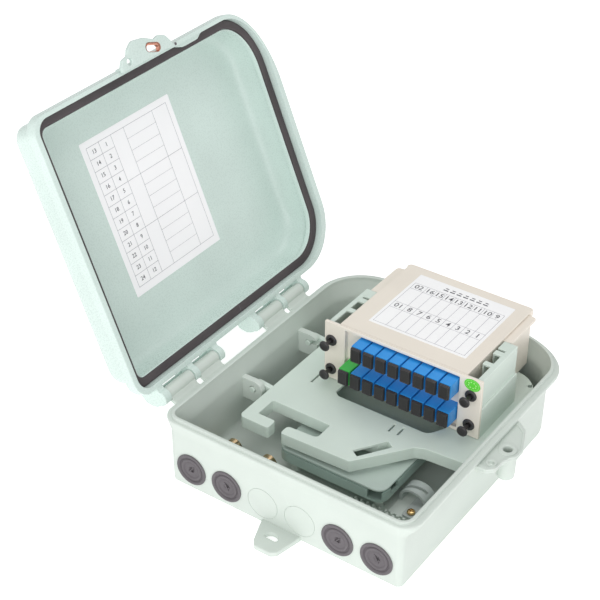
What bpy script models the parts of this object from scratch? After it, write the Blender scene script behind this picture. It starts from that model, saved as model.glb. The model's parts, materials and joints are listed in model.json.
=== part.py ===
"""Wall-mount fibre termination box with a hinged lid, a hinged adapter panel and a 1 x 16 splitter cassette.

Frame: X runs along the cable-entry wall from the hinge side (-X) to the latch side (+X), Y runs from the
cable-entry wall (-Y) to the rear, Z points out of the back wall, and Z = 0 is the back face that sits on the wall.
All driving dimensions are in millimetres, and the meshes are written in metres.
"""

import math

import bmesh
import bpy
from mathutils import Matrix, Vector

MM = 0.001

# lid rotation at rest, measured from the closed position
LID_OPEN_DEG = 112.2
HINGE_X = -114.2
HINGE_Z = 56.3
HINGE_BARREL_R = 4.9
HINGE_LUG_R = 5.7
HINGE_BORE_R = 2.6
HINGE_STUB_R = 2.2
HINGE_LUGS = (((-102.0, -95.6), (-67.6, -62.2), (-38.8, -33.2)), ((9.2, 15.2), (41.6, 46.4), (70.2, 75.4)))
HINGE_GAP = 0.4

# base tray
BASE_WALL_X = 96.4
BASE_FRONT_Y = -114.6
BASE_REAR_Y = 113.8
BASE_FRONT_R = 4.6
BASE_REAR_R = 36.0
BASE_RIM_Z = 57.3
LIP_HALF = 1.2
LIP_SIDE = 98.0
LIP_FRONT = -112.3
LIP_REAR = 117.4
LATCH_STRETCH = 1.15
LIP_STRETCH = 1.45
FLOOR_Z = 3.0

PORT_PITCH = 31.0
PORT_Z = 17.9
PORT_HOLE_R = 11.4
PORT_FLANGE_R = 12.7
PLUG_SLOTS = (0, 1, 4, 5)
RING_SLOTS = (2, 3)

# lid
LID_RIM_Z = 55.4
LID_BAND_Z = 64.6
LID_TOP_Z = 91.0
GASKET_Z0 = 60.6
GASKET_Z1 = 62.8
GROOVE_Z = 63.1
GROOVE_STRETCH = 1.3
RIM_STRETCH = 1.65

# hinged panel
PANEL_Z = 38.0
PANEL_T = 2.0
PANEL_SKIRT_Z = 28.0
PIVOT_X = -84.0
PIVOT_Z = 35.0
PIVOT_R = 2.4

# splitter cassette
CASS_X0 = -48.0
CASS_X1 = 82.6
CASS_Y = 8.0
CASS_REAR = 107.6
CASS_Z0 = 38.4
CASS_TOP = 88.2
BODY_X0 = -36.0
BODY_X1 = 68.6
ADAPTER_PITCH = 10.4
ADAPTER_W = 9.1
ADAPTER_H = 12.4
ADAPTER_X0 = -13.2
TOP_ROW_Z = 78.2
LOW_ROW_Z = 54.0
PLUNGERS = ((-42.0, 73.0), (-42.0, 47.2), (74.6, 74.0), (74.6, 48.4))

BRACKET_Z = 51.0

# cable fixings and splice tray on the floor
CLAMP_X = (-76.0, -45.0)
CLAMP_Y = -69.0
STRAP_X = 62.0
STRAP_Y = -37.4
STRAP_HALF_X = 10.5
STRAP_HALF_Y = 6.4
STRAP_Z0 = 4.9
STRAP_SPRING_Z = 9.0
STRAP_TOP = 17.0
STRAP_THICK = 2.0
STRAP_SCREW_X = 67.0
STRAP_SCREW_Y = -53.5
STRAP_HOLE_R = 1.9
TRAY_Z0 = 14.0


def clear_scene():
    for item in list(bpy.data.objects):
        bpy.data.objects.remove(item, do_unlink=True)


def material(name, colour, roughness, metallic=0.0):
    made = bpy.data.materials.new(name)
    made.use_nodes = True
    shader = made.node_tree.nodes["Principled BSDF"]
    shader.inputs["Base Color"].default_value = (*colour, 1.0)
    shader.inputs["Roughness"].default_value = roughness
    shader.inputs["Metallic"].default_value = metallic
    made.diffuse_color = (*colour, 1.0)
    return made


def object_from(name, bm, origin=(0.0, 0.0, 0.0)):
    """Recalculates the normals, moves the mesh to its origin and scales it to metres."""
    bmesh.ops.recalc_face_normals(bm, faces=bm.faces)
    bmesh.ops.translate(bm, vec=-Vector(origin), verts=bm.verts)
    bmesh.ops.scale(bm, vec=(MM, MM, MM), verts=bm.verts)
    mesh = bpy.data.meshes.new(name)
    bm.to_mesh(mesh)
    bm.free()
    made = bpy.data.objects.new(name, mesh)
    made.location = Vector(origin) * MM
    bpy.context.scene.collection.objects.link(made)
    return made


def give(made, slot):
    """Assigns the material and shades the round faces smooth."""
    made.data.materials.clear()
    made.data.materials.append(slot)
    made.data.shade_smooth()
    made.data.set_sharp_from_angle(angle=math.radians(32.0))
    return made


def attach(names, parent):
    """Parents the pieces that ride on a moving piece, without moving them."""
    for item in bpy.data.objects:
        if item.name.startswith(names):
            item.parent = parent
            item.matrix_parent_inverse = Matrix.Translation(-parent.location)


def loops_mesh(loops, closed_tube=False):
    """Skins a list of equal-length loops of points, with end caps or as a closed ring."""
    bm = bmesh.new()
    rows = [[bm.verts.new(p) for p in loop] for loop in loops]
    count = len(rows[0])
    pairs = list(zip(rows[:-1], rows[1:]))
    if closed_tube:
        pairs.append((rows[-1], rows[0]))
    for low, high in pairs:
        for i in range(count):
            j = (i + 1) % count
            bm.faces.new((low[i], low[j], high[j], high[i]))
    if not closed_tube:
        bm.faces.new(list(reversed(rows[0])))
        bm.faces.new(rows[-1])
    return bm


def prism(points, low, high, axis="Z"):
    """Extrudes a polygon; axis Y takes (x, z) points and axis X takes (y, z) points."""
    def place(p, level):
        if axis == "Z":
            return (p[0], p[1], level)
        if axis == "Y":
            return (p[0], level, p[1])
        return (level, p[0], p[1])
    return loops_mesh([[place(p, low) for p in points], [place(p, high) for p in points]])


def box(x0, x1, y0, y1, z0, z1, bevel=0.0, segments=1):
    bm = prism([(x0, y0), (x1, y0), (x1, y1), (x0, y1)], z0, z1)
    if bevel:
        bmesh.ops.bevel(bm, geom=list(bm.edges), offset=bevel, segments=segments, affect="EDGES", profile=0.5)
    return bm


def circle(cx, cy, radius, count, start=0.0):
    return [
        (cx + radius * math.cos(start + 2 * math.pi * i / count), cy + radius * math.sin(start + 2 * math.pi * i / count))
        for i in range(count)
    ]


def lathe(profile, count, centre, axis="Y", start=0.0):
    """Turns (along, radius) pairs about an axis through centre; both ends are capped."""
    loops = []
    for along, radius in profile:
        loop = []
        for a, b in circle(0.0, 0.0, radius, count, start):
            if axis == "Y":
                loop.append((centre[0] + a, centre[1] + along, centre[2] + b))
            elif axis == "Z":
                loop.append((centre[0] + a, centre[1] + b, centre[2] + along))
            else:
                loop.append((centre[0] + along, centre[1] + a, centre[2] + b))
        loops.append(loop)
    return loops_mesh(loops)


def rounded(points, radii, steps=4):
    """Replaces each corner of a polygon by an arc of the given radius."""
    out = []
    count = len(points)
    for i in range(count):
        here = Vector(points[i])
        before = (Vector(points[i - 1]) - here)
        after = (Vector(points[(i + 1) % count]) - here)
        radius = radii[i] if isinstance(radii, (list, tuple)) else radii
        if radius <= 0.0:
            out.append(tuple(here))
            continue
        half = before.angle(after) / 2
        reach = min(radius / math.tan(half), before.length * 0.49, after.length * 0.49)
        first = here + before.normalized() * reach
        last = here + after.normalized() * reach
        for k in range(steps + 1):
            t = k / steps
            a = first.lerp(here, t)
            b = here.lerp(last, t)
            out.append(tuple(a.lerp(b, t)))
    return out


def outline(left, right, front, rear, front_r, rear_r, bow=0.0, stretch=LATCH_STRETCH, steps_front=4,
            steps_rear=7):
    """Counter-clockwise plan contour of the box with its own radii at the front and the rear.

    bow moves the latch side inwards over the finger notch next to the latch, and stretch lengthens the rear corner
    on that side along the rear wall."""
    points = []

    def arc(cx, cy, radius, first, steps, wide=1.0):
        for k in range(steps + 1):
            angle = math.radians(first + 90.0 * k / steps)
            points.append((cx + radius * wide * math.cos(angle), cy + radius * math.sin(angle)))

    arc(right - front_r, front + front_r, front_r, -90.0, steps_front)
    for y, share in ((20.0, 0.0), (26.0, 0.0), (33.0, 0.5), (40.0, 1.0), (52.0, 0.9), (58.0, 0.0), (64.0, 0.0)):
        points.append((right - bow * share, y))
    arc(right - rear_r * stretch, rear - rear_r, rear_r, 0.0, steps_rear, stretch)
    points.append((0.0, rear))
    arc(left + rear_r, rear - rear_r, rear_r, 90.0, steps_rear)
    points.append((left, 0.0))
    arc(left + front_r, front + front_r, front_r, 180.0, steps_front)
    points.append((0.0, front))
    return points


def at(contour, z):
    return [(x, y, z) for x, y in contour]


def boolean(target, bm, operation):
    """Joins or cuts one closed mesh with the exact solver and applies the result."""
    tool = object_from("tool", bm)
    tool.hide_render = True
    tool.display_type = "WIRE"
    step = target.modifiers.new("step", "BOOLEAN")
    step.object = tool
    step.operation = operation
    step.solver = "EXACT"
    bpy.context.view_layer.objects.active = target
    target.select_set(True)
    bpy.ops.object.modifier_apply(modifier=step.name)
    mesh = tool.data
    bpy.data.objects.remove(tool, do_unlink=True)
    bpy.data.meshes.remove(mesh)
    return target


def join(target, *meshes):
    for bm in meshes:
        boolean(target, bm, "UNION")
    return target


def cut(target, *meshes):
    for bm in meshes:
        boolean(target, bm, "DIFFERENCE")
    return target


def merged(meshes):
    """One mesh holding several separate tools that do not touch each other."""
    total = bmesh.new()
    for bm in meshes:
        scratch = bpy.data.meshes.new("scratch")
        bm.to_mesh(scratch)
        bm.free()
        total.from_mesh(scratch)
        bpy.data.meshes.remove(scratch)
    return total


def tidy(made):
    """Welds points closer than a hundredth of a millimetre and shades by angle."""
    bm = bmesh.new()
    bm.from_mesh(made.data)
    bmesh.ops.remove_doubles(bm, verts=bm.verts, dist=0.01 * MM)
    bmesh.ops.dissolve_degenerate(bm, edges=bm.edges, dist=0.005 * MM)
    bm.to_mesh(made.data)
    bm.free()
    return made


# ---------------------------------------------------------------------------------------------- base tray


def port_x(index):
    return (index - 2.5) * PORT_PITCH


def base_rings():
    """Outer skin from the back face up to the rim lip, then the inner skin down to the floor."""
    rows = []

    def ring(side, front, rear, z, front_r, rear_r, stretch=LATCH_STRETCH):
        rows.append(at(outline(-side, side, front, rear, front_r, rear_r, stretch=stretch), z))

    def lip(offset, z):
        """Row of the rim lip, offset millimetres outside its centre line."""
        ring(LIP_SIDE + offset, LIP_FRONT - offset, LIP_REAR + offset, z, 8.2 + offset, 34.8 + offset, LIP_STRETCH)

    ring(95.0, -113.2, 112.4, 0.0, 3.4, 34.6)
    ring(95.9, -114.1, 113.3, 0.5, 4.2, 35.5)
    ring(BASE_WALL_X, BASE_FRONT_Y, BASE_REAR_Y, 1.6, BASE_FRONT_R, BASE_REAR_R)
    ring(97.0, -114.8, 114.6, 45.0, 5.6, 36.6)
    ring(98.2, -114.9, 116.2, 46.6, 7.2, 37.2, 1.3)
    ring(101.2, -115.2, 120.0, 48.6, 10.4, 38.4, 1.5)
    ring(102.9, -115.6, 122.4, 51.0, 12.4, 39.0, 1.65)
    ring(103.4, -116.1, 123.3, 53.4, 13.0, 39.4, 1.7)
    ring(103.3, -116.1, 123.2, 54.4, 12.9, 39.3, 1.7)
    ring(102.5, -115.7, 122.4, 55.0, 12.4, 38.7, 1.7)
    ring(99.6, -114.0, 119.0, 55.0, 9.8, 36.4, LIP_STRETCH)
    lip(LIP_HALF, 55.3)
    lip(LIP_HALF, 56.9)
    lip(LIP_HALF - 0.4, BASE_RIM_Z)
    lip(0.4 - LIP_HALF, BASE_RIM_Z)
    lip(-LIP_HALF, 56.9)
    lip(-LIP_HALF - 0.1, 54.0)
    ring(96.0, -110.8, 114.9, 50.4, 7.0, 33.0, 1.35)
    ring(94.6, -110.6, 112.6, 46.4, 7.8, 32.4, 1.25)
    ring(93.4, -110.5, 111.2, 42.4, 8.1, 32.2)
    ring(92.6, -110.0, 110.4, 5.6, 7.6, 31.8)
    ring(91.6, -109.0, 109.4, 3.7, 7.0, 30.8)
    ring(89.8, -107.2, 107.6, FLOOR_Z, 5.6, 29.2)
    return rows


def mounting_ear(front):
    """Screw ear with a broad root, flush with the back face."""
    root = [(-15.6, -112.0), (-15.6, -116.0), (-8.8, -134.6), (-5.1, -139.2), (8.2, -139.2), (11.8, -136.2),
            (16.2, -116.0), (16.2, -112.0)]
    points = rounded(root, [0.0, 1.0, 2.0, 2.0, 2.0, 2.0, 1.0, 0.0], 2)
    if not front:
        points = [(x, -y - 0.6) for x, y in reversed(points)]
    inset = [(0.3 + (x - 0.3) * 0.94, y * 0.996) for x, y in points]
    return loops_mesh([at(points, 0.0), at(points, 3.2), at(inset, 4.0)])


def ear_slot(front):
    """Crescent screw slot with rounded ends."""
    y = -126.4 if front else 126.6
    bend = 1.0 if front else -1.0
    upper = []
    lower = []
    for k in range(9):
        t = -1.0 + 2.0 * k / 8
        arc = bend * 1.6 * (1.0 - t * t)
        upper.append((t * 5.2, y + arc + 3.0 * math.sqrt(max(0.04, 1.0 - abs(t) ** 3))))
        lower.append((t * 5.2, y + arc - 3.0 * math.sqrt(max(0.04, 1.0 - abs(t) ** 3))))
    return prism(lower + upper[::-1], -2.0, 7.0)


def latch_outline():
    return rounded([(96.0, -31.0), (109.5, -30.6), (114.6, -25.6), (114.6, -18.0), (116.6, -11.0), (120.6, -6.0),
                    (120.6, 3.0), (112.0, 22.5), (103.6, 28.6), (96.0, 28.6)],
                   [0.0, 3.5, 3.5, 2.5, 5.0, 5.0, 6.0, 6.0, 4.0, 0.0], 4)


def hinge_web(y0, y1):
    """Root that carries a hinge barrel on the rim of the base."""
    return prism([(-97.0, 53.0), (-97.0, 46.2), (-101.0, 46.8), (-110.5, 52.2), (-112.0, 55.5), (-110.6, 57.2),
                  (-107.6, 54.2)], y0, y1, "Y")


def pivot_bracket(y0):
    """Lug on the hinge-side wall that carries one pivot of the panel."""
    points = rounded([(-96.0, 24.0), (-82.0, 24.0), (-76.2, 29.0), (-75.4, 36.0), (-77.4, 41.0), (-82.0, 42.6),
                      (-96.0, 42.6)], [0.0, 2.0, 3.0, 3.0, 3.0, 2.0, 0.0], 3)
    return prism(points, y0, y0 + 5.0, "Y")


def build_base(plastic):
    base = object_from("base_shell", loops_mesh(base_rings()))
    join(base, mounting_ear(True), mounting_ear(False))
    cut(base, ear_slot(True), ear_slot(False))
    # latch bracket: lobed plate, stiffening boss and a skirt under the plate
    join(base, prism(latch_outline(), BRACKET_Z - 3.4, BRACKET_Z))
    boss = lathe([(-24.0, 5.6), (-23.0, 6.4), (-2.0, 6.9)], 20, (111.2, -2.4, BRACKET_Z), "Z")
    join(base, boss)
    join(base, prism([(94.0, -12.0), (94.0, 28.0), (106.0, 2.6), (106.0, -7.4)], BRACKET_Z - 15.0, BRACKET_Z - 2.0))
    cut(base, lathe([(-14.0, 3.3), (4.0, 3.4)], 16, (111.2, -2.4, BRACKET_Z), "Z"))
    cut(base, lathe([(-8.0, 2.0), (4.0, 2.0)], 12, (108.9, -21.4, BRACKET_Z), "Z"))
    # hinge barrels with their roots
    for lugs in HINGE_LUGS:
        for left, right in ((lugs[0], lugs[1]), (lugs[1], lugs[2])):
            y0 = left[1] + HINGE_GAP
            y1 = right[0] - HINGE_GAP
            join(base, hinge_web(y0 + 0.01, y1 - 0.01))
            barrel = lathe([(0.0, HINGE_BARREL_R - 0.5), (0.5, HINGE_BARREL_R), (y1 - y0 - 0.5, HINGE_BARREL_R),
                            (y1 - y0, HINGE_BARREL_R - 0.5)], 18, (HINGE_X, y0, HINGE_Z))
            join(base, barrel)
            cut(base, lathe([(-1.0, HINGE_BORE_R), (y1 - y0 + 1.0, HINGE_BORE_R)], 12, (HINGE_X, y0, HINGE_Z)))
    # pivot brackets of the panel: the near one has a round hole, the far one a snap-in slot
    join(base, pivot_bracket(-33.4), pivot_bracket(38.6))
    cut(base, lathe([(-3.0, PIVOT_R + 0.3), (8.0, PIVOT_R + 0.3)], 16, (PIVOT_X, -33.4, PIVOT_Z)))
    cut(base, lathe([(-3.0, PIVOT_R + 0.3), (8.0, PIVOT_R + 0.3)], 16, (PIVOT_X, 38.6, PIVOT_Z)))
    cut(base, prism([(-84.0, 34.0), (-72.0, 36.6), (-72.0, 40.6), (-84.0, 37.4)], 36.0, 46.0, "Y"))
    # cable-entry holes and knock-out rings
    for index in PLUG_SLOTS:
        cut(base, lathe([(-6.0, PORT_HOLE_R), (9.0, PORT_HOLE_R)], 24, (port_x(index), BASE_FRONT_Y, PORT_Z)))
    for index in RING_SLOTS:
        centre = (port_x(index), BASE_FRONT_Y, PORT_Z)
        groove = lathe([(-3.0, 12.7), (0.4, 12.7)], 28, centre)
        island = object_from("groove", groove)
        boolean(island, lathe([(-4.0, 12.0), (3.0, 12.0)], 28, centre), "DIFFERENCE")
        ring = bmesh.new()
        ring.from_mesh(island.data)
        bmesh.ops.scale(ring, vec=(1 / MM, 1 / MM, 1 / MM), verts=ring.verts)
        bpy.data.objects.remove(island, do_unlink=True)
        boolean(base, ring, "DIFFERENCE")
    # floor: posts for the splice tray, cable comb, clamp seats and strap seat
    posts = [lathe([(-1.0, 3.4), (TRAY_Z0 - FLOOR_Z - 0.3, 3.0)], 14, (x, y, FLOOR_Z), "Z")
             for x, y in ((-28.0, -56.0), (42.0, -56.0), (-28.0, 60.0), (42.0, 60.0))]
    join(base, *posts)
    comb = [(22.0, -63.6), (66.0, -63.6), (66.0, -60.6), (22.0, -60.6)]
    join(base, prism(comb, 2.0, 4.2))
    for k in range(9):
        x = 24.0 + 4.9 * k
        join(base, box(x - 1.1, x + 1.1, -63.8 + 1.6 * (k % 2), -60.4 + 1.6 * (k % 2) - 0.9, 2.5, 7.0))
    for x in CLAMP_X:
        join(base, box(x - 12.5, x + 12.5, CLAMP_Y - 4.6, CLAMP_Y + 4.6, 2.0, 5.4, 0.6))
    join(base, box(STRAP_X - STRAP_HALF_X - 0.5, STRAP_X + STRAP_HALF_X + 0.5, STRAP_SCREW_Y - 5.4,
                   STRAP_Y + STRAP_HALF_Y + 0.5, 2.0, 4.6, 0.5))
    return give(tidy(base), plastic)


def build_plugs(rubber):
    made = []
    for index in PLUG_SLOTS:
        profile = [(-0.5, 3.4), (-0.9, 3.8), (-0.9, 8.6), (-0.5, 9.0), (-0.5, 10.0), (-1.1, 10.4), (-1.1, 12.3),
                   (-0.7, PORT_FLANGE_R), (-0.3, PORT_FLANGE_R), (-0.3, 11.1), (6.4, 11.1), (6.4, 12.0), (8.4, 10.2),
                   (8.4, 8.0), (3.0, 7.4), (1.4, 6.0)]
        plug = lathe(profile, 24, (port_x(index), BASE_FRONT_Y - 0.1, PORT_Z))
        item = object_from(f"port_plug_{index + 1}", plug)
        made.append(give(item, rubber))
    return made


# ---------------------------------------------------------------------------------------------- lid


def lid_rings():
    """Outer skin from the rim face up over the dome, then the inner skin back down to the gasket groove."""
    rows = []

    def ring(left, right, front, rear, z, front_r, rear_r, stretch=LATCH_STRETCH, bow=0.0):
        rows.append(at(outline(-left, right, front, rear, front_r, rear_r, bow, stretch), z))

    def groove(side, front, rear, z, front_r, rear_r, bow=0.0):
        ring(side, side, front, rear, z, front_r, rear_r, GROOVE_STRETCH, bow)

    ring(105.2, 104.4, -118.8, 126.4, LID_RIM_Z, 12.4, 40.0, RIM_STRETCH)
    ring(106.0, 105.2, -119.6, 127.2, 56.2, 13.2, 40.8, RIM_STRETCH)
    ring(106.2, 105.4, -119.8, 127.4, 63.0, 13.4, 41.0, RIM_STRETCH)
    ring(105.6, 104.8, -119.2, 126.8, 64.2, 12.8, 40.4, 1.6)
    ring(104.4, 103.4, -117.8, 125.2, LID_BAND_Z, 11.8, 39.4, 1.5)
    ring(101.4, 100.6, -114.6, 122.2, 65.6, 9.8, 37.2, 1.25)
    ring(100.4, 99.6, -113.6, 121.0, 67.4, 9.4, 36.8)
    ring(99.4, 98.8, -112.8, 120.0, 80.0, 9.0, 36.0)
    ring(98.2, 97.8, -112.0, 119.0, 84.4, 8.8, 35.4)
    ring(95.4, 95.6, -110.4, 117.0, 87.6, 8.4, 34.0)
    ring(90.4, 92.4, -107.8, 114.4, 89.9, 8.0, 32.0)
    ring(83.0, 88.0, -103.8, 111.0, 90.8, 7.6, 30.0)
    ring(60.0, 66.0, -82.0, 94.0, LID_TOP_Z, 7.0, 28.0)
    ring(60.0, 66.0, -82.0, 94.0, LID_TOP_Z - 2.1, 7.0, 28.0)
    ring(82.0, 87.0, -102.6, 109.6, 88.7, 7.4, 29.0)
    ring(88.8, 90.6, -106.0, 112.8, 87.4, 7.6, 30.0)
    ring(93.0, 93.2, -108.0, 115.0, 84.6, 7.8, 31.6)
    ring(95.4, 95.2, -109.6, 116.2, 81.0, 8.0, 32.6)
    ring(96.4, 96.2, -110.4, 117.0, 69.4, 8.2, 33.0)
    ring(95.8, 95.6, -109.9, 116.2, 67.2, 7.4, 32.4)
    ring(94.6, 94.6, -108.7, 113.6, 65.8, 5.4, 30.6, 1.2)
    groove(94.2, -108.3, 113.0, 64.6, 4.9, 29.2)
    groove(94.2, -108.3, 113.0, 61.8, 4.9, 29.2)
    groove(94.5, -108.6, 113.3, 61.2, 5.2, 29.5)
    groove(94.9, -109.0, 113.7, 61.5, 5.6, 29.9)
    groove(95.0, -109.1, 113.8, GROOVE_Z, 5.7, 30.0)
    groove(101.7, -115.7, 121.2, GROOVE_Z, 10.4, 36.4, 3.4)
    groove(101.7, -115.4, 121.2, 58.0, 10.4, 36.4, 3.4)
    groove(101.8, -115.3, 121.3, 57.7, 10.4, 36.5)
    groove(101.8, -114.9, 121.4, LID_RIM_Z + 0.5, 10.3, 36.6)
    groove(102.2, -115.3, 121.8, LID_RIM_Z, 10.7, 37.0)
    return rows


def lid_mesh():
    """The ring list starts and ends on the rim face, so the skin closes on itself there."""
    bm = bmesh.new()
    rows = [[bm.verts.new(p) for p in loop] for loop in lid_rings()]
    count = len(rows[0])
    top_out = 12
    order = list(range(len(rows)))
    for low, high in zip(order, order[1:] + order[:1]):
        if low == top_out:
            continue
        for i in range(count):
            j = (i + 1) % count
            bm.faces.new((rows[low][i], rows[low][j], rows[high][j], rows[high][i]))
    bm.faces.new(rows[top_out])
    bm.faces.new(list(reversed(rows[top_out + 1])))
    return bm


def lug_profile():
    """Hinge lug in the closed position: an eye round the axis and a tall root on the side of the lid."""
    points = []
    for k in range(11):
        angle = math.radians(-18.0 - 160.0 * k / 10)
        points.append((HINGE_X + HINGE_LUG_R * math.cos(angle), HINGE_Z + HINGE_LUG_R * math.sin(angle)))
    points += [(HINGE_X - 6.7, HINGE_Z + 5.0), (HINGE_X - 6.2, HINGE_Z + 10.0), (HINGE_X - 3.2, HINGE_Z + 15.4),
               (HINGE_X + 3.0, HINGE_Z + 18.0), (HINGE_X + 15.2, HINGE_Z + 18.6), (HINGE_X + 15.2, HINGE_Z + 9.4),
               (HINGE_X + 10.2, HINGE_Z + 6.0), (HINGE_X + 10.2, HINGE_Z - 0.2), (HINGE_X + 7.0, HINGE_Z - 0.6)]
    return points


def latch_tab_outline():
    return rounded([(104.2, -30.0), (107.6, -30.0), (112.4, -26.6), (113.2, -20.8), (117.2, -18.4), (121.2, -12.0),
                    (119.6, -1.0), (115.6, 8.6), (116.6, 15.6), (114.0, 21.6), (108.6, 25.4), (104.2, 26.0)],
                   [0.0, 3.0, 4.0, 3.0, 4.0, 4.0, 6.0, 4.0, 4.0, 4.0, 4.0, 0.0], 3)


def closed_to_open(made):
    """Turns a lid piece built in the closed position to the rest position about the hinge line."""
    origin = Vector((HINGE_X, 0.0, HINGE_Z)) * MM
    angle = -math.radians(LID_OPEN_DEG)
    c = math.cos(angle)
    s = math.sin(angle)
    for vert in made.data.vertices:
        p = vert.co - origin
        vert.co = Vector((p.x * c + p.z * s, p.y, -p.x * s + p.z * c))
    made.location = origin
    return made


def build_lid(plastic, rubber, brass):
    lid = object_from("lid_shell", lid_mesh())
    for lugs in HINGE_LUGS:
        for k, (y0, y1) in enumerate(lugs):
            join(lid, prism(lug_profile(), y0, y1, "Y"))
            if k < 2:
                join(lid, lathe([(-1.0, HINGE_STUB_R), (4.6, HINGE_STUB_R), (5.2, HINGE_STUB_R - 0.5)], 14,
                                (HINGE_X, y1, HINGE_Z)))
            if k > 0:
                join(lid, lathe([(-5.2, HINGE_STUB_R - 0.5), (-4.6, HINGE_STUB_R), (1.0, HINGE_STUB_R)], 14,
                                (HINGE_X, y0, HINGE_Z)))
        bar = [(HINGE_X + 0.2, HINGE_Z + 7.4), (HINGE_X + 2.6, HINGE_Z + 6.6), (HINGE_X + 3.4, HINGE_Z + 8.6),
               (HINGE_X + 1.0, HINGE_Z + 9.4)]
        join(lid, prism(bar, lugs[0][0] + 0.7, lugs[2][1] - 0.7, "Y"))
    join(lid, prism(latch_tab_outline(), BRACKET_Z + 0.4, BRACKET_Z + 3.6))
    riser = rounded([(103.7, -27.6), (106.4, -27.6), (106.4, 24.0), (103.7, 24.0)], [0.0, 1.6, 1.6, 0.0], 2)
    join(lid, prism(riser, BRACKET_Z + 3.0, 62.0))
    slot = rounded([(106.5, -2.7), (113.7, -2.7), (113.7, 13.3), (106.5, 13.3)], 3.55, 5)
    cut(lid, prism(slot, 48.0, BRACKET_Z + 5.0))
    cut(lid, lathe([(-6.0, 2.5), (6.0, 2.5)], 16, (108.9, -20.8, BRACKET_Z), "Z"))
    give(tidy(lid), plastic)
    closed_to_open(lid)

    def loop(inset, z, bow=0.0):
        """Row of the gasket, inset millimetres in from its outer edge."""
        return at(outline(inset - 101.5, 101.5 - inset, inset - 115.5, 121.0 - inset, 10.2 - 0.7 * inset,
                          36.2 - inset, bow, GROOVE_STRETCH), z)

    gasket = object_from("lid_gasket", loops_mesh([
        loop(6.3, GASKET_Z0 + 0.5), loop(5.8, GASKET_Z0), loop(0.5, GASKET_Z0, 3.2), loop(0.0, GASKET_Z0 + 0.5, 3.2),
        loop(0.0, GASKET_Z1, 3.2), loop(6.3, GASKET_Z1)], closed_tube=True))
    give(gasket, rubber)
    closed_to_open(gasket)

    outer = rounded([(106.85, -2.35), (113.35, -2.35), (113.35, 12.95), (106.85, 12.95)], 3.2, 5)
    hole = rounded([(107.8, -1.4), (112.4, -1.4), (112.4, 12.0), (107.8, 12.0)], 2.25, 5)
    low = BRACKET_Z + 0.3
    high = BRACKET_Z + 3.9
    eyelet = object_from("lock_eyelet", loops_mesh([at(outer, low), at(outer, high), at(hole, high), at(hole, low)],
                                                   closed_tube=True))
    give(eyelet, brass)
    closed_to_open(eyelet)
    return lid, gasket, eyelet


# ---------------------------------------------------------------------------------------------- hinged panel


def panel_outline():
    return rounded([
        (-71.8, -63.4), (-69.0, -66.2), (-46.2, -66.2), (-46.2, -56.2), (-61.6, -56.2), (-61.6, -38.2),
        (-11.6, -38.2), (-11.6, -54.6), (-36.0, -56.0), (-36.0, -65.4), (21.4, -63.2), (50.6, -24.4),
        (57.0, -21.6), (90.6, -19.0), (90.6, 96.0), (-71.8, 96.0)],
        [2.4, 2.4, 2.6, 2.6, 1.2, 1.6, 1.2, 3.6, 3.6, 2.6, 3.0, 7.0, 6.0, 2.0, 30.0, 26.0], 4)


def panel_hollows():
    """Pockets under the plate that leave a skirt all round."""
    low = PANEL_SKIRT_Z - 1.0
    high = PANEL_Z - PANEL_T
    main = rounded([(-69.8, -36.2), (-9.4, -36.2), (10.6, -36.2), (46.8, -22.8), (56.4, -19.2), (88.6, -16.8),
                    (88.6, 94.0), (-69.8, 94.0)], [1.0, 0.0, 0.0, 4.0, 5.0, 1.5, 28.2, 24.2], 4)
    finger = rounded([(-69.8, -63.0), (-68.6, -64.2), (-48.2, -64.2), (-48.2, -58.2), (-63.6, -58.2),
                      (-63.6, -40.2), (-69.8, -40.2)], 0.6, 2)
    bar = rounded([(-34.0, -63.4), (20.2, -61.2), (39.6, -35.2), (38.4, -34.0), (-9.6, -40.2), (-9.6, -52.8),
                   (-12.6, -56.4), (-34.0, -57.8)], 0.6, 2)
    return [prism(main, low, high), prism(finger, low, high), prism(bar, low, high)]


def slab_box(x0, x1, y0, y1, angle, cx, cy):
    c = math.cos(angle)
    s = math.sin(angle)
    return [(cx + x * c - y * s, cy + x * s + y * c) for x, y in ((x0, y0), (x1, y0), (x1, y1), (x0, y1))]


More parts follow.
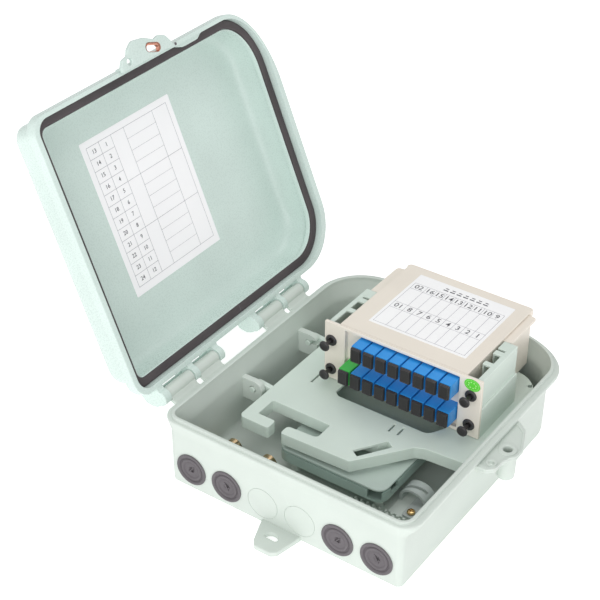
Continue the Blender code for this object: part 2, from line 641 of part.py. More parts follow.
def build_panel(plastic):
    low = PANEL_SKIRT_Z - 2.0
    high = PANEL_Z + 2.0
    panel = object_from("flip_panel", loops_mesh([
        [(x, y, PANEL_SKIRT_Z) for x, y in panel_outline()],
        [(x, y, PANEL_Z) for x, y in panel_outline()]]))
    cut(panel, *panel_hollows())
    opening = rounded([(-26.0, -6.4), (50.0, -6.4), (57.4, 6.4), (57.4, 40.0), (-30.0, 40.0), (-30.0, -3.0)],
                      [4.0, 8.0, 2.0, 4.0, 4.0, 2.0], 5)
    cut(panel, prism(opening, low, high))
    cut(panel, prism([(16.6, -51.6), (22.6, -55.4), (37.6, -33.0), (31.6, -29.2)], low, high))
    cut(panel, merged([prism([(25.0, -19.6), (26.4, -19.6), (26.4, -10.2), (25.0, -10.2)], low, high),
                       prism([(32.4, -19.4), (33.8, -19.4), (33.8, -10.0), (32.4, -10.0)], low, high)]))
    cut(panel, prism([(-52.4, -4.0), (-50.8, -4.0), (-50.8, 9.0), (-52.4, 9.0)], low, high))
    cut(panel, lathe([(-4.0, 1.7), (4.0, 1.7)], 14, (83.6, 84.5, PANEL_Z), "Z"))
    # pivot ears with stub pins that sit in the brackets of the base
    for y0, stub in ((-28.0, (-6.4, 1.0)), (44.0, (-6.4, 1.0))):
        ear = rounded([(-68.0, 30.6), (-68.0, 37.6), (-84.0, 39.4), (-88.4, 35.0), (-84.0, 30.6)],
                      [0.0, 0.0, 3.4, 3.4, 3.4], 3)
        join(panel, prism(ear, y0, y0 + 4.2, "Y"))
        join(panel, lathe([(stub[0], PIVOT_R - 0.4), (stub[0] + 0.5, PIVOT_R), (stub[1], PIVOT_R)], 16,
                          (PIVOT_X, y0, PIVOT_Z)))
    # side guides for the cassette, open at the rear, with a lower ledge outside and slots beside the cassette
    tall = [(11.0, 37.0), (62.4, 37.0), (62.4, 86.6), (11.0, 86.6)]
    ledge = [(11.0, 37.0), (62.4, 37.0), (62.4, 63.4), (11.0, 63.4)]
    pocket = [(13.0, 40.0), (70.0, 40.0), (70.0, 84.6), (13.0, 84.6)]
    join(panel, prism(tall, -46.8, -37.6, "X"), prism(tall, 70.2, 81.0, "X"))
    join(panel, prism(ledge, -48.4, -45.4, "X"), prism(ledge, 79.6, 82.6, "X"))
    cut(panel, prism(pocket, -45.2, -39.2, "X"), prism(pocket, 71.8, 77.8, "X"))
    for y0, y1 in ((13.0, 30.0), (34.5, 45.0)):
        cut(panel, box(-43.0, -36.0, y0, y1, 60.0, 90.0), box(69.0, 76.6, y0, y1, 60.0, 90.0))
    holes = [lathe([(-6.0, 2.9), (8.0, 2.9)], 16, (x, CASS_Y, z)) for x, z in PLUNGERS]
    cut(panel, merged(holes))
    give(tidy(panel), plastic)
    origin = Vector((PIVOT_X, 0.0, PIVOT_Z)) * MM
    for vert in panel.data.vertices:
        vert.co -= origin
    panel.location = origin
    return panel


# ---------------------------------------------------------------------------------------------- cassette


def adapter_places():
    """(name suffix, centre x, centre z) for the 8 upper and 9 lower adapters, numbered from the latch side."""
    places = []
    for k in range(8):
        places.append((f"top_{8 - k}", ADAPTER_X0 + ADAPTER_PITCH * k, TOP_ROW_Z))
    for k in range(8):
        places.append((f"low_{8 - k}", ADAPTER_X0 + ADAPTER_PITCH * k, LOW_ROW_Z))
    places.append(("input", ADAPTER_X0 - ADAPTER_PITCH, LOW_ROW_Z))
    return places


def build_cassette(cream, green, blue, black, silicon):
    housing = object_from("cassette_housing", box(BODY_X0, BODY_X1, CASS_Y, CASS_REAR, CASS_Z0, CASS_TOP - 2.4))
    join(housing, box(CASS_X0, CASS_X1, CASS_Y, CASS_Y + 2.6, CASS_Z0, CASS_TOP, 0.35))
    # side ledges behind the guides
    join(housing, box(BODY_X0 - 8.0, BODY_X0 + 1.0, 63.2, 102.0, 83.4, CASS_TOP - 2.4, 0.5))
    join(housing, box(BODY_X1 - 1.0, BODY_X1 + 6.6, 63.2, 102.0, 83.4, CASS_TOP - 2.4, 0.5))
    cut(housing, box(BODY_X0 + 2.0, BODY_X1 - 2.0, CASS_Y + 6.0, CASS_REAR - 2.0, CASS_Z0 + 2.0, CASS_TOP + 6.0))
    cut(housing, box(-30.4, 64.8, CASS_Y - 3.0, CASS_Y + 4.0, 41.0, 86.0))
    windows = []
    for _name, x, z in adapter_places():
        windows.append(box(x - ADAPTER_W / 2 - 0.3, x + ADAPTER_W / 2 + 0.3, CASS_Y + 1.0, CASS_Y + 9.0,
                           z - ADAPTER_H / 2 - 0.3, z + ADAPTER_H / 2 + 0.3))
    cut(housing, merged(windows))
    cut(housing, merged([lathe([(-3.0, 2.9), (6.0, 2.9)], 16, (x, CASS_Y, z)) for x, z in PLUNGERS]))
    give(tidy(housing), cream)

    top = CASS_TOP
    plate = rounded([(BODY_X0 - 0.6, CASS_Y + 2.9), (BODY_X1 + 0.6, CASS_Y + 2.9), (BODY_X1 + 0.6, 108.6),
                     (BODY_X0 - 0.6, 108.6)], [0.4, 0.4, 3.0, 3.0], 3)
    inset = [(x + (0.5 if x < 0 else -0.5), y + (0.5 if y < 50 else -0.5)) for x, y in plate]
    cover = object_from("cassette_cover", loops_mesh([at(plate, top - 2.1), at(plate, top - 0.5), at(inset, top)]))
    give(tidy(cover), cream)

    for name, x, z in adapter_places():
        half_w = ADAPTER_W / 2
        half_h = ADAPTER_H / 2
        body = object_from(f"sc_adapter_{name}", box(x - half_w, x + half_w, -2.8, CASS_Y + 17.0,
                                                     z - half_h, z + half_h, 0.35))
        cut(body, box(x - half_w + 0.9, x + half_w - 0.9, -6.0, 13.0, z - half_h + 1.0, z + half_h - 1.0))
        cut(body, box(x - half_w + 0.9, x + half_w - 0.9, 15.0, CASS_Y + 20.0, z - half_h + 1.0, z + half_h - 1.0))
        give(tidy(body), green if name == "input" else blue)
        cap = object_from(f"sc_cap_{name}", box(x - 4.2, x + 4.2, -5.4, -3.1, z - 5.9, z + 5.9, 0.35),
                          (0.0, 0.0, 0.0))
        join(cap, box(x - half_w + 1.3, x + half_w - 1.3, -3.6, 5.0, z - half_h + 1.4, z + half_h - 1.4))
        give(tidy(cap), black)
        centre = Vector((x, -3.1, z)) * MM
        for vert in cap.data.vertices:
            vert.co -= centre
        cap.location = centre

    for k, (x, z) in enumerate(PLUNGERS):
        ring = [(-1.3, 3.6), (-0.9, 4.4), (-0.3, 4.5), (-0.3, 2.55), (13.0, 2.45), (13.0, 1.75), (-1.3, 1.75)]
        loops = []
        for along, radius in ring:
            loops.append([(x + a, CASS_Y + along, z + b) for a, b in circle(0.0, 0.0, radius, 16)])
        grommet = object_from(f"fastener_grommet_{k + 1}", loops_mesh(loops, closed_tube=True))
        give(grommet, black)
        pin = lathe([(-10.6, 3.2), (-10.2, 3.9), (-8.6, 4.1), (-8.0, 3.4), (-7.4, 1.5), (7.6, 1.45), (8.6, 0.8)],
                    16, (x, CASS_Y, z))
        plunger = object_from(f"plunger_{k + 1}", pin, (x, CASS_Y, z))
        give(plunger, black)

    module = object_from("plc_splitter_module", box(-22.0, 38.0, 60.0, 72.0, CASS_Z0 + 2.3, CASS_Z0 + 6.3, 0.5))
    give(module, silicon)
    return housing


# ---------------------------------------------------------------------------------------------- splice tray and cable fixings


def build_tray(plastic, clear):
    x0 = -38.0
    x1 = 51.0
    y0 = -66.0
    y1 = 72.0
    plan = rounded([(x0, y0), (x1, y0), (x1, y1), (x0, y1)], [9.0, 10.0, 12.0, 12.0], 5)
    tray = object_from("splice_tray", loops_mesh([at(plan, TRAY_Z0), at(plan, 23.4)]))
    pocket = rounded([(x0 + 1.8, y0 + 1.8), (x1 - 1.8, y0 + 1.8), (x1 - 1.8, y1 - 1.8), (x0 + 1.8, y1 - 1.8)],
                     [7.2, 8.2, 10.2, 10.2], 5)
    cut(tray, prism(pocket, TRAY_Z0 + 1.8, 30.0))
    # fibre entries near the corners
    cut(tray, box(39.6, 44.8, y0 - 3.0, y0 + 5.0, 18.4, 30.0))
    cut(tray, box(x1 - 5.0, x1 + 3.0, -56.0, -50.0, 18.4, 30.0))
    cut(tray, box(x0 - 3.0, x0 + 5.0, -57.0, -51.0, 18.4, 30.0))
    # winding cores and splice holder
    for y in (-34.0, 40.0):
        hub = lathe([(-1.0, 15.0), (5.6, 14.6)], 28, (6.5, y, TRAY_Z0 + 1.8), "Z")
        join(tray, hub)
        cut(tray, lathe([(0.4, 13.0), (12.0, 13.0)], 28, (6.5, y, TRAY_Z0 + 1.8), "Z"))
    for k in range(7):
        x = -15.0 + 7.2 * k
        join(tray, box(x - 0.7, x + 0.7, -9.0, 17.0, TRAY_Z0 + 1.0, TRAY_Z0 + 6.4))
    give(tidy(tray), plastic)
    lid_plan = rounded([(x0 + 0.2, y0 + 0.2), (x1 - 0.2, y0 + 0.2), (x1 - 0.2, y1 - 0.2), (x0 + 0.2, y1 - 0.2)],
                       [8.8, 9.8, 11.8, 11.8], 5)
    small = [(x + (0.5 if x < 6 else -0.5), y + (0.5 if y < 0 else -0.5)) for x, y in lid_plan]
    cover = object_from("splice_tray_cover", loops_mesh([at(lid_plan, 23.7), at(lid_plan, 24.9), at(small, 25.4)]))
    give(cover, clear)


def build_fixings(grey, steel, brass):
    # U-shaped cable strap standing on the floor, with its screw flange towards the front
    def arch(inset):
        half = STRAP_HALF_X - inset
        crown = STRAP_TOP - STRAP_SPRING_Z - inset
        turn = [math.pi * k / 16 for k in range(17)]
        curve = [(STRAP_X + half * math.cos(a), STRAP_SPRING_Z + crown * math.sin(a)) for a in turn]
        return [(STRAP_X + half, STRAP_Z0)] + curve + [(STRAP_X - half, STRAP_Z0)]

    band = arch(0.0) + arch(STRAP_THICK)[::-1]
    strap = object_from("cable_strap", prism(band, STRAP_Y - STRAP_HALF_Y, STRAP_Y + STRAP_HALF_Y, "Y"))
    rear = STRAP_Y + STRAP_HALF_Y - 0.4
    foot_top = STRAP_Z0 + STRAP_THICK
    tab = rounded([(STRAP_SCREW_X - 5.2, STRAP_SCREW_Y - 4.8), (STRAP_SCREW_X + 5.2, STRAP_SCREW_Y - 4.8),
                   (STRAP_SCREW_X + 5.2, rear), (STRAP_SCREW_X - 5.2, rear)], [3.0, 3.0, 0.0, 0.0], 3)
    join(strap, prism(tab, STRAP_Z0, foot_top))
    join(strap, box(STRAP_X - STRAP_HALF_X + 0.2, STRAP_X + STRAP_HALF_X - 0.2, STRAP_Y - STRAP_HALF_Y + 0.4, rear,
                    STRAP_Z0, foot_top))
    cut(strap, lathe([(-3.0, STRAP_HOLE_R), (6.0, STRAP_HOLE_R)], 14, (STRAP_SCREW_X, STRAP_SCREW_Y, STRAP_Z0), "Z"))
    give(tidy(strap), grey)

    head = foot_top + 0.1
    body = object_from("strap_screw", lathe([(-4.2, 0.9), (-3.6, 1.5), (0.3, 1.5), (0.3, 3.0), (1.3, 3.0), (2.2, 2.2)],
                                            18, (STRAP_SCREW_X, STRAP_SCREW_Y, head), "Z"))
    cut(body, box(STRAP_SCREW_X - 2.2, STRAP_SCREW_X + 2.2, STRAP_SCREW_Y - 0.4, STRAP_SCREW_Y + 0.4, head + 1.5,
                  head + 4.0))
    cut(body, box(STRAP_SCREW_X - 0.4, STRAP_SCREW_X + 0.4, STRAP_SCREW_Y - 2.2, STRAP_SCREW_Y + 2.2, head + 1.5,
                  head + 4.0))
    give(tidy(body), steel)
    base = bpy.data.objects["base_shell"]
    cut(base, lathe([(-3.4, STRAP_HOLE_R), (9.0, STRAP_HOLE_R)], 14, (STRAP_SCREW_X, STRAP_SCREW_Y, 5.0), "Z"))
    tidy(base)
    # brass saddle clamps behind the two cable entries on the hinge side
    for k, x in enumerate(CLAMP_X):
        arch = []
        for i in range(13):
            angle = math.pi * i / 12
            arch.append((x + 6.2 * math.cos(angle), 7.0 + 6.4 * math.sin(angle)))
        under = []
        for i in range(13):
            angle = math.pi * i / 12
            under.append((x + 5.0 * math.cos(angle), 7.0 + 5.2 * math.sin(angle)))
        profile = [(x + 11.6, 5.7), (x + 11.6, 6.9)] + arch + [(x - 11.6, 6.9), (x - 11.6, 5.7)]
        profile += [(x - 5.0, 5.7)] + under[::-1] + [(x + 5.0, 5.7)]
        clamp = object_from(f"cable_clamp_{k + 1}", prism(profile, CLAMP_Y - 3.6, CLAMP_Y + 3.6, "Y"))
        for side in (-1.0, 1.0):
            cx = x + side * 9.0
            join(clamp, lathe([(-0.6, 2.2), (1.4, 2.2), (2.0, 1.6)], 14, (cx, CLAMP_Y, 6.9), "Z"))
            cut(clamp, box(cx - 1.8, cx + 1.8, CLAMP_Y - 0.3, CLAMP_Y + 0.3, 8.1, 10.0))
        give(tidy(clamp), brass)


def main():
    clear_scene()
    shell = material("shell_plastic", (0.63, 0.72, 0.68), 0.42)
    inner = material("panel_plastic", (0.60, 0.68, 0.64), 0.45)
    rubber = material("seal_rubber", (0.075, 0.066, 0.068), 0.62)
    plug = material("plug_rubber", (0.15, 0.13, 0.135), 0.58)
    cream = material("cassette_plastic", (0.83, 0.79, 0.72), 0.46)
    blue = material("adapter_blue", (0.01, 0.26, 0.72), 0.35)
    green = material("adapter_green", (0.05, 0.50, 0.12), 0.35)
    black = material("black_plastic", (0.025, 0.023, 0.024), 0.5)
    strap = material("strap_plastic", (0.50, 0.53, 0.52), 0.5)
    tray = material("tray_plastic", (0.42, 0.50, 0.47), 0.45)
    steel = material("screw_steel", (0.62, 0.55, 0.42), 0.3, 1.0)
    brass = material("brass", (0.75, 0.45, 0.30), 0.28, 1.0)
    module = material("module_metal", (0.70, 0.71, 0.72), 0.35, 1.0)
    build_base(shell)
    build_plugs(plug)
    build_lid(shell, rubber, brass)
    build_panel(inner)
    build_cassette(cream, green, blue, black, module)
    build_tray(tray, tray)
    build_fixings(strap, steel, brass)
    attach(("lid_gasket", "lock_eyelet"), bpy.data.objects["lid_shell"])
    attach(("cassette_", "sc_", "fastener_", "plunger_", "plc_"), bpy.data.objects["flip_panel"])


main()
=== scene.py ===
"""Looks of the fibre termination box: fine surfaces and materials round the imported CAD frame.

Sizes are in millimetres, in the CAD frame: X from the hinge side to the latch side, Y from the cable entries to
the rear, Z out of the wall. Lid pieces are modelled closed and then turned to the rest position on the hinge.
"""

import json
import math
import random

import bmesh
import bpy
from mathutils import Matrix, Vector


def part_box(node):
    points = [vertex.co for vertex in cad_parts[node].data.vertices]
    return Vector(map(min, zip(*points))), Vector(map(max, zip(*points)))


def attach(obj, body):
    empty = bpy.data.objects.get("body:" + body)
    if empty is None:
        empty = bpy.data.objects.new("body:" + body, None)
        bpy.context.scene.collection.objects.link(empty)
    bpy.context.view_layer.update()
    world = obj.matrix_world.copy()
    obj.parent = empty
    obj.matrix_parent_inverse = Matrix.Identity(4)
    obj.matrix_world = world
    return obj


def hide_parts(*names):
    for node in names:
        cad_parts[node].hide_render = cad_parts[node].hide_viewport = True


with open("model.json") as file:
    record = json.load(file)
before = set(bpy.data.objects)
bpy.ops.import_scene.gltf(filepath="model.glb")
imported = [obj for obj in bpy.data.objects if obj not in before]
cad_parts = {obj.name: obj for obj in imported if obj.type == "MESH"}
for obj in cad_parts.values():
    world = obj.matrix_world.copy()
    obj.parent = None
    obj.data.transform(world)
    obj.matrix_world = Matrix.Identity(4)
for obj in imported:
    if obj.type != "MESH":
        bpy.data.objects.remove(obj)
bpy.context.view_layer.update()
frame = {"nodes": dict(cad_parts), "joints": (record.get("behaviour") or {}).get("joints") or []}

MM = 0.001
JOINTS = {joint["name"]: joint for joint in frame["joints"]}
LID_JOINT = JOINTS["lid_hinge"]
HINGE = Vector(LID_JOINT["pos_m"]) / MM
LID_ANGLE = LID_JOINT["range_deg"][0]
PIVOT = Vector(JOINTS["flip_panel_hinge"]["pos_m"]) / MM
TO_REST = (
    Matrix.Translation(HINGE) @ Matrix.Rotation(math.radians(LID_ANGLE), 4, "Y") @ Matrix.Translation(-HINGE)
)

# base tray
WALL_X = 96.4
FRONT_Y = -114.6
REAR_Y = 113.8
LIP_SIDE = 98.0
LIP_FRONT = -112.3
LIP_REAR = 117.4
LIP_HALF = 1.2
FLOOR_Z = 3.0
PORT_PITCH = 31.0
PORT_Z = 17.9
PORT_HOLE_R = 11.4
PLUG_NUMBERS = (1, 2, 5, 6)
RING_NUMBERS = (3, 4)
BRACKET_Z = 51.0

# lid
RIM_Z = 55.4
GASKET_Z0 = 60.6
GASKET_Z1 = 62.8
DOME_IN_Z = 88.9
BARREL_R = 4.9
LUG_R = 5.7
HINGE_LUGS = (((-102.0, -95.6), (-67.6, -62.2), (-38.8, -33.2)), ((9.2, 15.2), (41.6, 46.4), (70.2, 75.4)))

# hinged panel and cassette
PANEL_Z = 38.0
PANEL_T = 2.0
SKIRT_Z = 28.0
CASS_Y = 8.0
TRAY_Z = 14.0


# ---- mesh helpers


def box_of(node):
    """Lowest and highest corners of a CAD node, in millimetres."""
    low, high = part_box(node)
    return low / MM, high / MM


def centre_of(node):
    low, high = box_of(node)
    return (low + high) / 2


def loft(loops, ring=False):
    """Skins equal-length loops of points, with end caps or as a closed ring."""
    bm = bmesh.new()
    rows = [[bm.verts.new(p) for p in loop] for loop in loops]
    count = len(rows[0])
    pairs = list(zip(rows[:-1], rows[1:]))
    if ring:
        pairs.append((rows[-1], rows[0]))
    for low, high in pairs:
        for i in range(count):
            j = (i + 1) % count
            bm.faces.new((low[i], low[j], high[j], high[i]))
    if not ring:
        bm.faces.new(list(reversed(rows[0])))
        bm.faces.new(rows[-1])
    return bm


def at(contour, z):
    return [(x, y, z) for x, y in contour]


def prism(points, low, high, axis="Z"):
    """Extrudes a polygon; axis Y takes (x, z) points and axis X takes (y, z) points."""
    def place(p, level):
        if axis == "Z":
            return (p[0], p[1], level)
        if axis == "Y":
            return (p[0], level, p[1])
        return (level, p[0], p[1])
    return loft([[place(p, low) for p in points], [place(p, high) for p in points]])


def rect(x0, x1, y0, y1, grow=0.0):
    return [(x0 - grow, y0 - grow), (x1 + grow, y0 - grow), (x1 + grow, y1 + grow), (x0 - grow, y1 + grow)]


def block(x0, x1, y0, y1, z0, z1):
    return prism(rect(x0, x1, y0, y1), z0, z1)


def circle(cx, cy, radius, count=48):
    turn = [2 * math.pi * i / count for i in range(count)]
    return [(cx + radius * math.cos(a), cy + radius * math.sin(a)) for a in turn]


def lathe(profile, centre, axis="Y", count=48, ring=False):
    """Turns (along, radius) pairs about an axis through centre, as a solid or as a closed ring."""
    loops = []
    for along, radius in profile:
        turn = circle(0.0, 0.0, radius, count)
        if axis == "Y":
            loops.append([(centre[0] + a, centre[1] + along, centre[2] + b) for a, b in turn])
        else:
            loops.append([(centre[0] + a, centre[1] + b, centre[2] + along) for a, b in turn])
    return loft(loops, ring)


def rounded(points, radii, steps=8):
    """Replaces each corner of a polygon by a curve that keeps tangent to both sides."""
    out = []
    count = len(points)
    for i in range(count):
        here = Vector(points[i])
        before = Vector(points[i - 1]) - here
        after = Vector(points[(i + 1) % count]) - here
        radius = radii[i] if isinstance(radii, (list, tuple)) else radii
        if radius <= 0.0:
            out.append(tuple(here))
            continue
        half = before.angle(after) / 2
        reach = min(radius / math.tan(half), before.length * 0.49, after.length * 0.49)
        first = here + before.normalized() * reach
        last = here + after.normalized() * reach
        for k in range(steps + 1):
            t = k / steps
            out.append(tuple(first.lerp(here, t).lerp(here.lerp(last, t), t)))
    return out


def outline(left, right, front, rear, front_r, rear_r, bow=0.0, stretch=1.15):
    """Plan contour of the box with its own corner radii at the front and the rear.

    bow moves the latch side inwards over the finger notch beside the latch, and stretch lengthens the rear corner
    on that side along the rear wall."""
    points = []

    def arc(cx, cy, radius, first, steps, wide=1.0):
        for k in range(steps + 1):
            angle = math.radians(first + 90.0 * k / steps)
            points.append((cx + radius * wide * math.cos(angle), cy + radius * math.sin(angle)))

    arc(right - front_r, front + front_r, front_r, -90.0, 10)
    for k in range(13):
        y = 22.0 + 3.5 * k
        rise = min(1.0, max(0.0, (y - 29.0) / 12.0))
        fall = min(1.0, max(0.0, (63.0 - y) / 7.0))
        share = (rise * rise * (3 - 2 * rise)) * (fall * fall * (3 - 2 * fall))
        points.append((right - bow * share, y))
    arc(right - rear_r * stretch, rear - rear_r, rear_r, 0.0, 20, stretch)
    points.append((0.0, rear))
    arc(left + rear_r, rear - rear_r, rear_r, 90.0, 18)
    points.append((left, 0.0))
    arc(left + front_r, front + front_r, front_r, 180.0, 10)
    points.append((0.0, front))
    return points


def row(left, right, front, rear, z, front_r, rear_r, bow=0.0, stretch=1.15):
    return at(outline(-left, right, front, rear, front_r, rear_r, bow, stretch), z)


def stadium(cx, cy, half_long, half_wide, turn, steps=14):
    """Slot outline with round ends; turn swings its long axis from Y towards -X, in degrees."""
    spin = math.radians(turn)
    points = []
    for end in (1.0, -1.0):
        for k in range(steps + 1):
            angle = math.pi * k / steps + (0.0 if end > 0 else math.pi)
            x = half_wide * math.cos(angle)
            y = half_wide * math.sin(angle) + end * (half_long - half_wide)
            points.append((cx + x * math.cos(spin) - y * math.sin(spin), cy + x * math.sin(spin) + y * math.cos(spin)))
    return points


def mesh_object(name, bm, place=None):
    bmesh.ops.recalc_face_normals(bm, faces=bm.faces)
    if place is not None:
        bmesh.ops.transform(bm, matrix=place, verts=bm.verts)
    bmesh.ops.scale(bm, vec=(MM, MM, MM), verts=bm.verts)
    mesh = bpy.data.meshes.new(name)
    bm.to_mesh(mesh)
    bm.free()
    made = bpy.data.objects.new(name, mesh)
    bpy.context.scene.collection.objects.link(made)
    return made


def carve(made, *cutters, place=None):
    """Cuts closed meshes out of a piece with the exact solver."""
    for bm in cutters:
        tool = mesh_object("tool", bm, place)
        step = made.modifiers.new("cut", "BOOLEAN")
        step.object = tool
        step.operation = "DIFFERENCE"
        step.solver = "EXACT"
        bpy.context.view_layer.objects.active = made
        with bpy.context.temp_override(object=made, active_object=made):
            bpy.ops.object.modifier_apply(modifier=step.name)
        mesh = tool.data
        bpy.data.objects.remove(tool, do_unlink=True)
        bpy.data.meshes.remove(mesh)
    return made


def dress(made, look, body, slot, soft=0.0, stands_for=(), sharp=32.0, segments=3):
    """Shades a piece, rounds its edges by soft millimetres, and lets it ride on its body."""
    made.data.materials.clear()
    made.data.materials.append(look)
    made.data.shade_smooth()
    if soft > 0.0:
        edge = made.modifiers.new("soft edges", "BEVEL")
        edge.width = soft * MM
        edge.segments = segments
        edge.limit_method = "ANGLE"
        edge.angle_limit = math.radians(sharp)
        edge.use_clamp_overlap = True
        edge.harden_normals = True
    else:
        made.data.set_sharp_from_angle(angle=math.radians(sharp))
        weigh = made.modifiers.new("flat faces", "WEIGHTED_NORMAL")
        weigh.keep_sharp = True
        weigh.weight = 70
    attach(made, body)
    if stands_for:
        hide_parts(*stands_for)
    return made


def baked(data):
    """Mesh, in millimetres, of a curve or a text."""
    source = bpy.data.objects.new(data.name, data)
    bpy.context.scene.collection.objects.link(source)
    bpy.context.view_layer.update()
    mesh = bpy.data.meshes.new_from_object(source.evaluated_get(bpy.context.evaluated_depsgraph_get()))
    bpy.data.objects.remove(source, do_unlink=True)
    bm = bmesh.new()
    bm.from_mesh(mesh)
    bpy.data.meshes.remove(mesh)
    bmesh.ops.scale(bm, vec=(1 / MM,) * 3, verts=bm.verts)
    return bm


def plate(name, outer, holes, low, high, edge=0.6, place=None):
    """A flat plate with rounded edges and holes, made from a filled 2-D curve."""
    data = bpy.data.curves.new(name, "CURVE")
    data.dimensions = "2D"
    data.fill_mode = "BOTH"
    data.extrude = ((high - low) / 2 - edge) * MM
    data.bevel_depth = edge * MM
    data.bevel_resolution = 2
    data.offset = -edge * MM
    data.resolution_u = 1
    for points in [outer, *holes]:
        spline = data.splines.new("POLY")
        spline.points.add(len(points) - 1)
        for slot, p in zip(spline.points, points):
            slot.co = (p[0] * MM, p[1] * MM, 0.0, 1.0)
        spline.use_cyclic_u = True
    bm = baked(data)
    bmesh.ops.remove_doubles(bm, verts=bm.verts, dist=0.01)
    bmesh.ops.translate(bm, vec=(0, 0, (low + high) / 2), verts=bm.verts)
    return mesh_object(name, bm, place)


def merged(meshes):
    """One mesh from several separate ones."""
    total = bmesh.new()
    for bm in meshes:
        scratch = bpy.data.meshes.new("scratch")
        bm.to_mesh(scratch)
        bm.free()
        total.from_mesh(scratch)
        bpy.data.meshes.remove(scratch)
    return total


# ---- materials


def srgb(r, g, b):
    """Linear colour from 0 to 255 screen values."""
    def lin(v):
        v /= 255.0
        return v / 12.92 if v <= 0.04045 else ((v + 0.055) / 1.055) ** 2.4
    return (lin(r), lin(g), lin(b), 1.0)


def moulded(name, colour, roughness=0.42, grain=0.25, mottle=0.05, wear=0.06, metallic=0.0, scale=900.0):
    """Procedural surface: broad colour drift, fine moulding grain, worn edges and uneven gloss."""
    mat = bpy.data.materials.new(name)
    mat.use_nodes = True
    nodes = mat.node_tree.nodes
    shader = nodes["Principled BSDF"]
    shader.inputs["Metallic"].default_value = metallic

    def add(kind, **values):
        node = nodes.new("ShaderNode" + kind)
        for key, value in values.items():
            node.inputs[key.replace("_", " ")].default_value = value
        return node

    def link(source, output, target, socket):
        mat.node_tree.links.new(source.outputs[output], target.inputs[socket])

    where = add("TexCoord")
    drift = add("TexNoise", Scale=22.0, Detail=5.0)
    link(where, "Object", drift, "Vector")
    tone = add("MapRange", From_Min=0.3, From_Max=0.7, To_Min=1.0 - mottle, To_Max=1.0 + mottle * 0.5)
    link(drift, "Fac", tone, "Value")
    tint = add("Mix")
    tint.data_type = "RGBA"
    tint.blend_type = "MULTIPLY"
    tint.inputs["Factor"].default_value = 1.0
    tint.inputs["A"].default_value = colour
    link(tone, "Result", tint, "B")

    shape = add("NewGeometry")
    worn = add("MapRange", From_Min=0.51, From_Max=0.60, To_Min=0.0, To_Max=wear)
    link(shape, "Pointiness", worn, "Value")
    edge = add("Mix")
    edge.data_type = "RGBA"
    edge.inputs["B"].default_value = tuple(min(1.0, c * 1.25 + 0.10) for c in colour[:3]) + (1.0,)
    link(worn, "Result", edge, "Factor")
    link(tint, "Result", edge, "A")
    link(edge, "Result", shader, "Base Color")

    fine = add("TexNoise", Scale=scale, Detail=3.0)
    link(where, "Object", fine, "Vector")
    rough = add("MapRange", To_Min=max(0.05, roughness - 0.06), To_Max=min(1.0, roughness + 0.08))
    link(fine, "Fac", rough, "Value")
    link(rough, "Result", shader, "Roughness")
    bump = add("Bump", Strength=grain, Distance=0.00006)
    link(fine, "Fac", bump, "Height")
    link(bump, "Normal", shader, "Normal")
    return mat


SHELL = moulded("shell_plastic", srgb(206, 215, 208), 0.40)
LID_IN = moulded("lid_plastic", srgb(209, 225, 219), 0.27)
PANEL = moulded("panel_plastic", srgb(212, 225, 216), 0.40)
TRAY = moulded("tray_plastic", srgb(158, 178, 170), 0.36)
FILM = moulded("tray_cover_plastic", srgb(186, 201, 193), 0.30)
SEAL = moulded("seal_rubber", srgb(80, 74, 76), 0.78, grain=0.9, mottle=0.25, wear=0.12, scale=1400.0)
PLUG = moulded("plug_rubber", srgb(96, 91, 95), 0.60, grain=0.5, mottle=0.12, wear=0.25)
CREAM = moulded("cassette_plastic", srgb(238, 230, 218), 0.44, mottle=0.03)
BLUE = moulded("adapter_blue", srgb(20, 142, 222), 0.32, grain=0.12, mottle=0.06, wear=0.2)
GREEN = moulded("adapter_green", srgb(52, 186, 72), 0.34, grain=0.12, mottle=0.06, wear=0.2)
BLACK = moulded("black_plastic", srgb(44, 41, 43), 0.38, grain=0.4, mottle=0.15, wear=0.35)
NYLON = moulded("strap_plastic", srgb(178, 186, 183), 0.42, mottle=0.08)
BRASS = moulded("brass", srgb(226, 196, 156), 0.26, grain=0.4, mottle=0.15, wear=0.3, metallic=1.0)
COPPER = moulded("copper", srgb(214, 150, 128), 0.24, grain=0.4, mottle=0.15, wear=0.3, metallic=1.0)
STEEL = moulded("screw_steel", srgb(208, 176, 120), 0.28, grain=0.5, mottle=0.2, wear=0.4, metallic=1.0)
CHIP = moulded("module_metal", srgb(190, 192, 194), 0.30, grain=0.6, metallic=1.0)
PAPER = moulded("label_paper", srgb(253, 253, 254), 0.55, grain=0.35, mottle=0.02, scale=2200.0)
LID_PAPER = moulded("lid_label_paper", srgb(253, 252, 254), 0.5, grain=0.35, mottle=0.02, scale=2200.0)
INK = moulded("label_ink", srgb(96, 96, 102), 0.6, mottle=0.2)
PALE_INK = moulded("label_pale_ink", srgb(176, 176, 182), 0.6, mottle=0.1)
STICKER = moulded("sticker_green", srgb(96, 220, 60), 0.4, mottle=0.08)
STICKER_PALE = moulded("sticker_pale", srgb(205, 248, 170), 0.4, mottle=0.08)


def on_base(made, **more):
    return dress(made, SHELL, "base", "shell_plastic", **more)


def on_lid(made, look=LID_IN, **more):
    return dress(made, look, "lid", "shell_plastic", **more)


def on_panel(made, **more):
    return dress(made, PANEL, "panel", "panel_plastic", **more)


def on_cassette(made, look=CREAM, **more):
    return dress(made, look, "panel", "cassette_plastic", **more)


# ---- base tray


def port_x(number):
    return (number - 3.5) * PORT_PITCH


